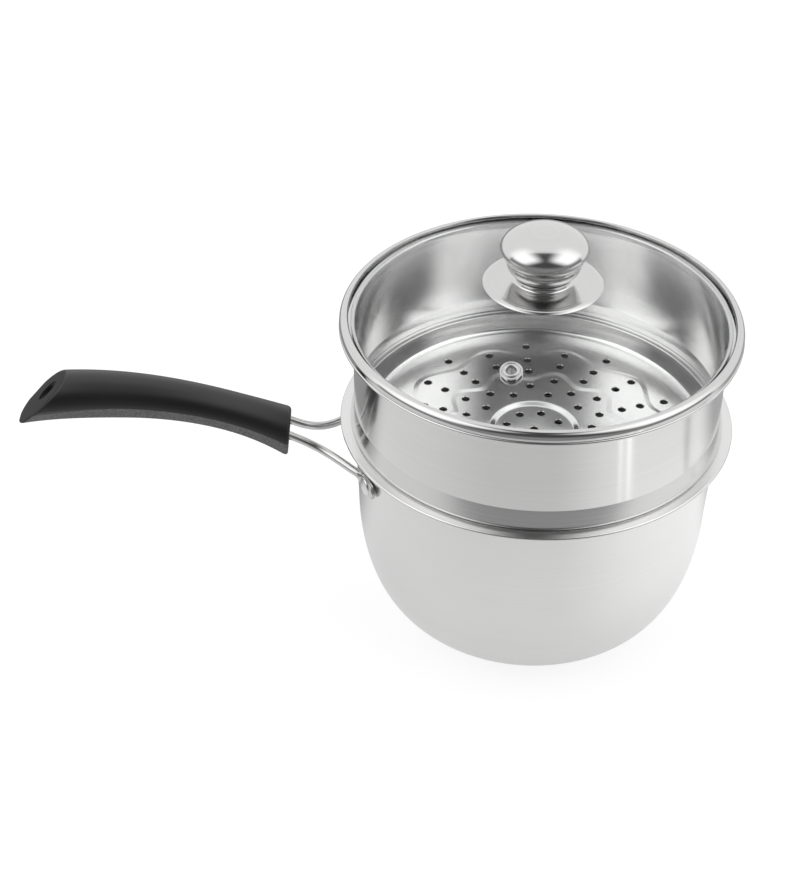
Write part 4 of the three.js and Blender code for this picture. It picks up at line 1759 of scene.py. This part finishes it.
@dataclass(frozen=True)
class Knob:
    """Steel knob of a flange, a cup and a domed cap, screwed on through the glass."""

    lid: Lid
    flange: float = 30.4
    edge_roll: float = 4.4
    edge_turn: float = 0.6
    edge_round: float = 0.3
    edge_lift: float = 0.5
    edge_drop: float = 0.75
    edge_bow: float = 0.55
    plate_drop: float = 0.4
    plate_round: float = 1.2
    bore: float = 3.2
    seat: float = 10.8
    seat_lift: float = 0.83
    seat_step: float = 2.0
    seat_round: float = 0.4
    neck: float = 14.0
    root: float = 2.0
    root_turn: float = 0.8
    root_lift: float = 0.1
    root_bow: float = 0.4
    root_steps: int = 6
    collar: float = 15.2
    collar_foot: float = 1.3
    collar_blend: float = 0.6
    collar_edge: float = 0.7
    collar_round: float = 0.3
    collar_drop: float = 0.3
    collar_crest: float = 0.15
    groove: float = 13.6
    groove_height: float = 0.4
    flange_height: float = 3.5
    cup_seam: float = 0.2
    cup_height: float = 12.8
    cup_wall: float = 1.2
    cup_foot: float = 15.3
    cup_foot_lift: float = 0.6
    cup_floor_round: float = 0.5
    cup_flare: float = 5.9
    cup_step: float = 18.7
    cup_step_height: float = 8.0
    cup_bow: float = 1.5
    cup_steps: int = 14
    step_under: float = 0.3
    step_notch: float = 0.5
    step_out: float = 0.3
    step_over: float = 0.2
    lip_bow: float = 0.7
    lip_round: float = 0.2
    bow_steps: int = 10
    cup_lip: float = 0.6
    cap_seam: float = 0.2
    cap_overhang: float = 1.3
    cap_edge: float = 0.5
    cap_dome: float = 10.7
    cap_wall: float = 1.2
    cap_draft: float = 0.2
    cap_round: float = 0.4
    cap_steps: int = 32
    screw: float = 2.4
    screw_reach: float = 14.0
    screw_tip: float = 1.0
    screw_head: float = 4.8
    screw_head_height: float = 2.6
    screw_crown: float = 1.0
    screw_flank: float = 1.4
    screw_round: float = 0.8
    slot_length: float = 5.0
    slot_width: float = 1.1
    slot_height: float = 3.0
    washer: float = 9.0
    washer_thick: float = 1.0
    gasket: float = 12.0
    gasket_thick: float = 1.0

    @property
    def seat_z(self) -> float:
        """Underside of the flange's middle."""
        return self.lid.top + self.seat_lift

    @property
    def flange_top(self) -> float:
        """Upper side of the flange's collar."""
        return self.seat_z + self.flange_height

    @property
    def cup_floor(self) -> float:
        """Underside of the cup."""
        return self.flange_top + self.cup_seam

    @property
    def cup_rim(self) -> float:
        """Mouth of the cup."""
        return self.cup_floor + self.cup_height

    def flange_mesh(self) -> BMesh:
        """Thin flange on the glass with a rolled edge and a short neck.

        Returns:
            The flange.
        """
        top = self.flange_top
        seat = self.seat_z
        plate = seat - self.plate_drop
        skirt = self.seat + self.seat_step
        root = self.neck + self.root
        foot, under = (self.lid.dome(radius) + self.lid.clear / 2 for radius in (self.flange, skirt))
        edge_foot = (self.flange, foot + self.edge_lift)
        edge_top = (self.flange - self.edge_roll, plate - self.edge_drop)
        root_foot = (root - self.root_turn, plate + self.root_lift)
        outline = Outline(self.bore, seat)
        outline.to(self.seat, seat, self.seat_round).to(skirt, under, self.seat_round)
        outline.to(self.flange - self.edge_turn, foot, self.edge_round)
        outline.along(bulge(edge_foot, edge_top, -self.edge_bow, self.bow_steps))
        outline.to(root, plate, self.plate_round)
        outline.along(bulge(root_foot, (self.neck, plate + self.root), self.root_bow, self.root_steps))
        outline.to(self.neck, top - self.collar_foot, self.collar_blend)
        outline.to(self.collar, top - self.collar_edge, self.collar_round)
        outline.to(self.collar, top - self.collar_drop, self.collar_crest)
        outline.to(self.groove, top - self.collar_drop).to(self.groove, top).to(self.bore, top)
        return spin(outline.points(close=True), KNOB_STEPS)

    def cup_mesh(self) -> BMesh:
        """Cup of two bowed rings, one over the other.

        Returns:
            The cup.
        """
        floor = self.cup_floor
        step_z = floor + self.cup_step_height
        mouth = self.cup_foot + self.cup_flare
        ring_foot = (self.cup_foot, floor + self.cup_foot_lift)
        ring_top = (self.cup_step, step_z - self.step_under)
        lip_foot = (self.cup_step + self.step_out, step_z + self.step_over)
        lip_top = (mouth, self.cup_rim - self.lip_round)
        outline = Outline(self.bore, floor).to(self.groove, floor).to(self.groove, floor + self.groove_height)
        outline.along(bulge(ring_foot, ring_top, -self.cup_bow, self.cup_steps))
        outline.to(self.cup_step - self.step_notch, step_z)
        outline.along(bulge(lip_foot, lip_top, -self.lip_bow, self.bow_steps))
        outline.to(mouth - self.cup_lip, self.cup_rim, self.lip_round)
        outline.to(self.cup_foot - self.cup_wall, floor + self.cup_wall, self.cup_floor_round)
        outline.to(self.bore, floor + self.cup_wall)
        return spin(outline.points(close=True), KNOB_STEPS)

    def cap_mesh(self) -> BMesh:
        """Hollow domed cap.

        Returns:
            The cap.
        """
        bottom = self.cup_rim + self.cap_seam
        edge_z = bottom + self.cap_edge
        edge = self.cup_foot + self.cup_flare + self.cap_overhang
        quarter = arc(0.0, 0.0, 1.0, 90.0, 0.0, self.cap_steps)
        inner = edge - self.cap_wall
        outline = Outline(0.0, edge_z + self.cap_dome - self.cap_wall)
        outline.along((inner * r, edge_z + (self.cap_dome - self.cap_wall) * z) for r, z in quarter[1:])
        outline.to(inner, bottom).to(edge - self.cap_draft, bottom, self.cap_round)
        outline.along((edge * r, edge_z + self.cap_dome * z) for r, z in reversed(quarter[1:]))
        outline.to(0.0, edge_z + self.cap_dome)
        return spin(outline.points(fillet_steps=5), KNOB_STEPS)

    def screw_mesh(self) -> BMesh:
        """Pan-head screw from below.

        Returns:
            The screw without the cross in its head.
        """
        top = self.washer_foot
        low = top - self.screw_head_height
        reach = self.cup_floor + self.cup_wall + self.screw_reach
        outline = Outline(0.0, low).to(self.screw_head - self.screw_crown, low, self.screw_round)
        outline.to(self.screw_head, low + self.screw_flank, self.screw_round).to(self.screw_head, top)
        outline.to(self.screw, top).to(self.screw, reach - self.screw_tip)
        outline.to(self.screw - self.screw_tip, reach).to(0.0, reach)
        return spin(outline.points(fillet_steps=4), STUD_STEPS)

    @property
    def gasket_top(self) -> float:
        """Upper side of the gasket under the glass."""
        return self.lid.dome(self.gasket, self.lid.thick) - self.lid.clear / 2

    @property
    def washer_foot(self) -> float:
        """Underside of the washer on the screw head."""
        return self.gasket_top - self.gasket_thick - self.washer_thick

    def slot_cutter(self, x: float, y: float) -> BMesh:
        """Cutter for one stroke of the cross in the screw head.

        Args:
            x: Size along x.
            y: Size along y.

        Returns:
            A box in its place.
        """
        bm = bmesh.new()
        foot = self.washer_foot - self.screw_head_height
        size = Vector((x, y, self.slot_height)) * MM
        place = Matrix.Translation(Z_AXIS * foot * MM) @ Matrix.Diagonal((*size, 1.0))
        bmesh.ops.create_cube(bm, size=1.0, matrix=place)
        return bm

    def build(self, finishes: Finishes) -> None:
        """Makes the pieces of the knob and its fixing.

        Args:
            finishes: Materials of the object.
        """
        for name, bm, node in (
                ("knob_base", self.flange_mesh(), "knob_flange"),
                ("knob_bowl", self.cup_mesh(), "knob_cup"),
                ("knob_dome", self.cap_mesh(), "knob_cap")):
            dress(to_object(name, bm), finishes.knob, Body.LID, Slot.KNOB, node)
        screw = to_object("knob_bolt", self.screw_mesh())
        for size in ((self.slot_length, self.slot_width), (self.slot_width, self.slot_length)):
            carve(screw, self.slot_cutter(*size))
        dress(screw, finishes.wire, Body.LID, Slot.POLISHED, "knob_screw")
        bore = self.screw + self.lid.clear
        low = self.washer_foot
        mid = low + self.washer_thick
        washer = to_object("knob_washer_ring", flat_ring(bore, self.washer, low, mid))
        dress(washer, finishes.wire, Body.LID, Slot.POLISHED, "knob_washer")
        gasket = to_object("knob_gasket_ring", flat_ring(bore, self.gasket, mid, self.gasket_top))
        dress(gasket, finishes.silicone, Body.LID, Slot.SILICONE, "knob_gasket_lower")
        for name, material in (("knob_post", finishes.wire), ("knob_gasket_upper", finishes.silicone)):
            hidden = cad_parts[name]
            hidden.data.materials.clear()
            hidden.data.materials.append(material)


@dataclass(frozen=True)
class Panel:
    """A soft light in the studio, by the way to it from the pot."""

    azimuth: float
    elevation: float
    half_width: float
    half_height: float
    soft: float
    level: float
    horizon: float = 0.02
    least_depth: float = 0.01


@dataclass(frozen=True)
class Streak:
    """A brighter or darker strip of the floor's glow outside the picture, seen only in the steel's
    reflections.
    """

    start: Spot
    heading: float
    near: float
    far: float
    half_width: float
    gain: float
    end_fade: float = 0.01
    side_fade: Span = (1.6, 0.4)


@dataclass(frozen=True)
class Studio:
    """Pale floor, white rear, dark front with a softbox on each side, and the photograph's camera."""

    lens: float = 69.5
    sensor: float = 36.0
    camera_at: tuple[float, float, float] = (-0.0719, -0.7265, 0.6566)
    camera_tilt: float = math.radians(52.57)
    floor_low: Spot = (-1.6, -0.36)
    floor_high: Spot = (1.6, 2.2)
    floor_drop: float = 0.0002
    floor_cells: int = 4
    floor_grey: float = 0.3
    shown_fill: float = 0.8
    steel_fill: float = 0.36
    side_fill: float = 0.3
    right_edge: Span = (0.02, 0.2)
    left_edge: Span = (-0.1, -0.35)
    left_part: float = 0.6
    near_fill: float = 0.25
    near_edge: Span = (0.3, 0.18)
    rear_fill: float = -0.46
    rear_floor: float = 0.05
    rear_line: Span = (0.02, 0.12)
    rear: float = 1.0
    rear_edge: Span = (0.06, 0.14)
    front_high: float = 0.08
    front_low: float = 0.3
    front_fade: Span = (0.5, -0.05)
    panels: tuple[Panel, ...] = (
        Panel(-165.0, 45.0, 25.0, 28.0, 0.3, 1.6),
        Panel(-15.0, 45.0, 25.0, 28.0, 0.3, 1.6),
    )
    streaks: tuple[Streak, ...] = (
        Streak((0.040, -0.0874), -41.0, 0.165, 0.25, 0.004, 0.7),
        Streak((0.0443, -0.0852), -35.0, 0.165, 0.25, 0.005, 0.9),
        Streak((0.0751, -0.0598), 13.0, 0.165, 0.25, 0.009, -0.5),
    )

    def camera(self) -> None:
        """Sets up the camera at the photograph's place."""
        data = bpy.data.cameras.new("camera")
        data.lens = self.lens
        data.sensor_width = self.sensor
        camera = bpy.data.objects.new("camera", data)
        camera.location = self.camera_at
        camera.rotation_euler = (self.camera_tilt, 0.0, 0.0)
        bpy.context.scene.collection.objects.link(camera)
        bpy.context.scene.camera = camera

    def floor(self) -> None:
        """Lays the floor."""
        bm = bmesh.new()
        size = [(high - low) / 2 for low, high in zip(self.floor_low, self.floor_high)]
        middle = [(high + low) / 2 for low, high in zip(self.floor_low, self.floor_high)]
        place = Matrix.Translation((*middle, -self.floor_drop)) @ Matrix.Diagonal((*size, 1.0, 1.0))
        bmesh.ops.create_grid(bm, x_segments=self.floor_cells, y_segments=self.floor_cells, size=1.0,
                              matrix=place)
        floor = to_object("floor", bm)
        material, graph = new_material("pale_floor")
        _, x, y, _ = graph.place()
        diffuse = graph.node("ShaderNodeBsdfDiffuse", None, {"Color": colour(self.floor_grey)})
        # The floor glows for reflection rays only, unevenly: brighter at the sides and near the pot, darker
        # behind it, with strips. This glow is light that the steel reflects.
        steel = self.steel_fill + x.step(*self.right_edge) * self.side_fill
        steel = steel + x.step(*self.left_edge) * (self.side_fill * self.left_part)
        near = ((x * x + y * y) ** 0.5).step(*self.near_edge) * y.step(*reversed(self.rear_line))
        steel = steel + y.step(*self.rear_line) * self.rear_fill + near * self.near_fill
        steel = steel.max(self.rear_floor)
        for streak in self.streaks:
            steel = steel + self.streak_mask(x, y, streak) * streak.gain
        path = graph.node("ShaderNodeLightPath")
        camera, glossy, through = (Sock(graph, path.outputs[f"Is {kind} Ray"])
                                   for kind in ("Camera", "Glossy", "Transmission"))
        fill = camera.max(through) * self.shown_fill + glossy * (1 - through) * steel
        glow = graph.node("ShaderNodeEmission", None, {"Color": fill})
        both = graph.node("ShaderNodeAddShader", None, {0: diffuse.outputs[0], 1: glow.outputs[0]})
        graph.node("ShaderNodeOutputMaterial", None, {"Surface": both.outputs[0]})
        floor.data.materials.append(material)

    @staticmethod
    def streak_mask(x: Sock, y: Sock, streak: Streak) -> Sock:
        """Soft-edged strip on the floor.

        Args:
            x: X on the floor.
            y: Y on the floor.
            streak: Place and size of the strip.

        Returns:
            1 on the strip and 0 off it.
        """
        heading = math.radians(streak.heading)
        right, ahead = (axis - start for axis, start in zip((x, y), streak.start))
        along = right * math.cos(heading) + ahead * math.sin(heading)
        off = ahead * math.cos(heading) - right * math.sin(heading)
        starts = along.step(streak.near - streak.end_fade, streak.near + streak.end_fade)
        stops = along.step(streak.far + streak.end_fade, streak.far - streak.end_fade)
        outside, inside = (streak.half_width * part for part in streak.side_fade)
        return off.abs().step(outside, inside) * (starts * stops)

    def world(self) -> None:
        """Surrounds the pot with a white rear, a dark front and the softboxes."""
        world = bpy.data.worlds.new("studio")
        bpy.context.scene.world = world
        world.use_nodes = True
        graph = Graph(world.node_tree)
        way = graph.node("ShaderNodeTexCoord").outputs["Generated"]
        height = graph.dot(way, Z_AXIS)
        front = self.front_high + height.step(*self.front_fade) * (self.front_low - self.front_high)
        light = front + graph.dot(way, (0.0, 1.0, 0.0)).step(*self.rear_edge) * (self.rear - front)
        for panel in self.panels:
            light = light + self.mask(graph, way, panel) * (panel.level - light)
        camera = Sock(graph, graph.node("ShaderNodeLightPath").outputs["Is Camera Ray"])
        light = light + camera * (1 - light)
        background = graph.node("ShaderNodeBackground", None, {"Color": light})
        graph.node("ShaderNodeOutputWorld", None, {"Surface": background.outputs[0]})

    @staticmethod
    def mask(graph: Graph, way: bpy.types.NodeSocket, panel: Panel) -> Sock:
        """Soft-edged rectangle seen along a way.

        Args:
            graph: Graph to add nodes to.
            way: Direction socket.
            panel: Place and size of the rectangle.

        Returns:
            1 inside the rectangle and 0 outside.
        """
        azimuth, elevation = math.radians(panel.azimuth), math.radians(panel.elevation)
        ahead = polar(math.cos(elevation), azimuth, math.sin(elevation))
        right = Vector((math.sin(azimuth), -math.cos(azimuth), 0.0))
        up = right.cross(ahead)
        depth = graph.dot(way, ahead)
        mask = depth.step(0.0, panel.horizon)
        for axis, half in ((right, panel.half_width), (up, panel.half_height)):
            reach = math.tan(math.radians(half))
            off = (graph.dot(way, axis) / depth.max(panel.least_depth)).abs()
            mask = mask * off.step(reach + panel.soft, reach - panel.soft)
        return mask

    def build(self) -> None:
        """Sets the stage."""
        bpy.context.scene.view_settings.view_transform = "Standard"
        self.camera()
        self.floor()
        self.world()


def main() -> None:
    """Builds the pieces in order, then the studio."""
    logging.basicConfig(level=logging.INFO, format="%(message)s")
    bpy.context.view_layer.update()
    pot = Pot()
    handle = Handle(pot)
    finishes = Finishes.make(handle.finish())
    basket = Basket(pot)
    lid = Lid(basket)
    for assembly in (pot, handle, basket, lid, Knob(lid)):
        assembly.build(finishes)
    Studio().build()


if __name__ == "__main__":
    main()
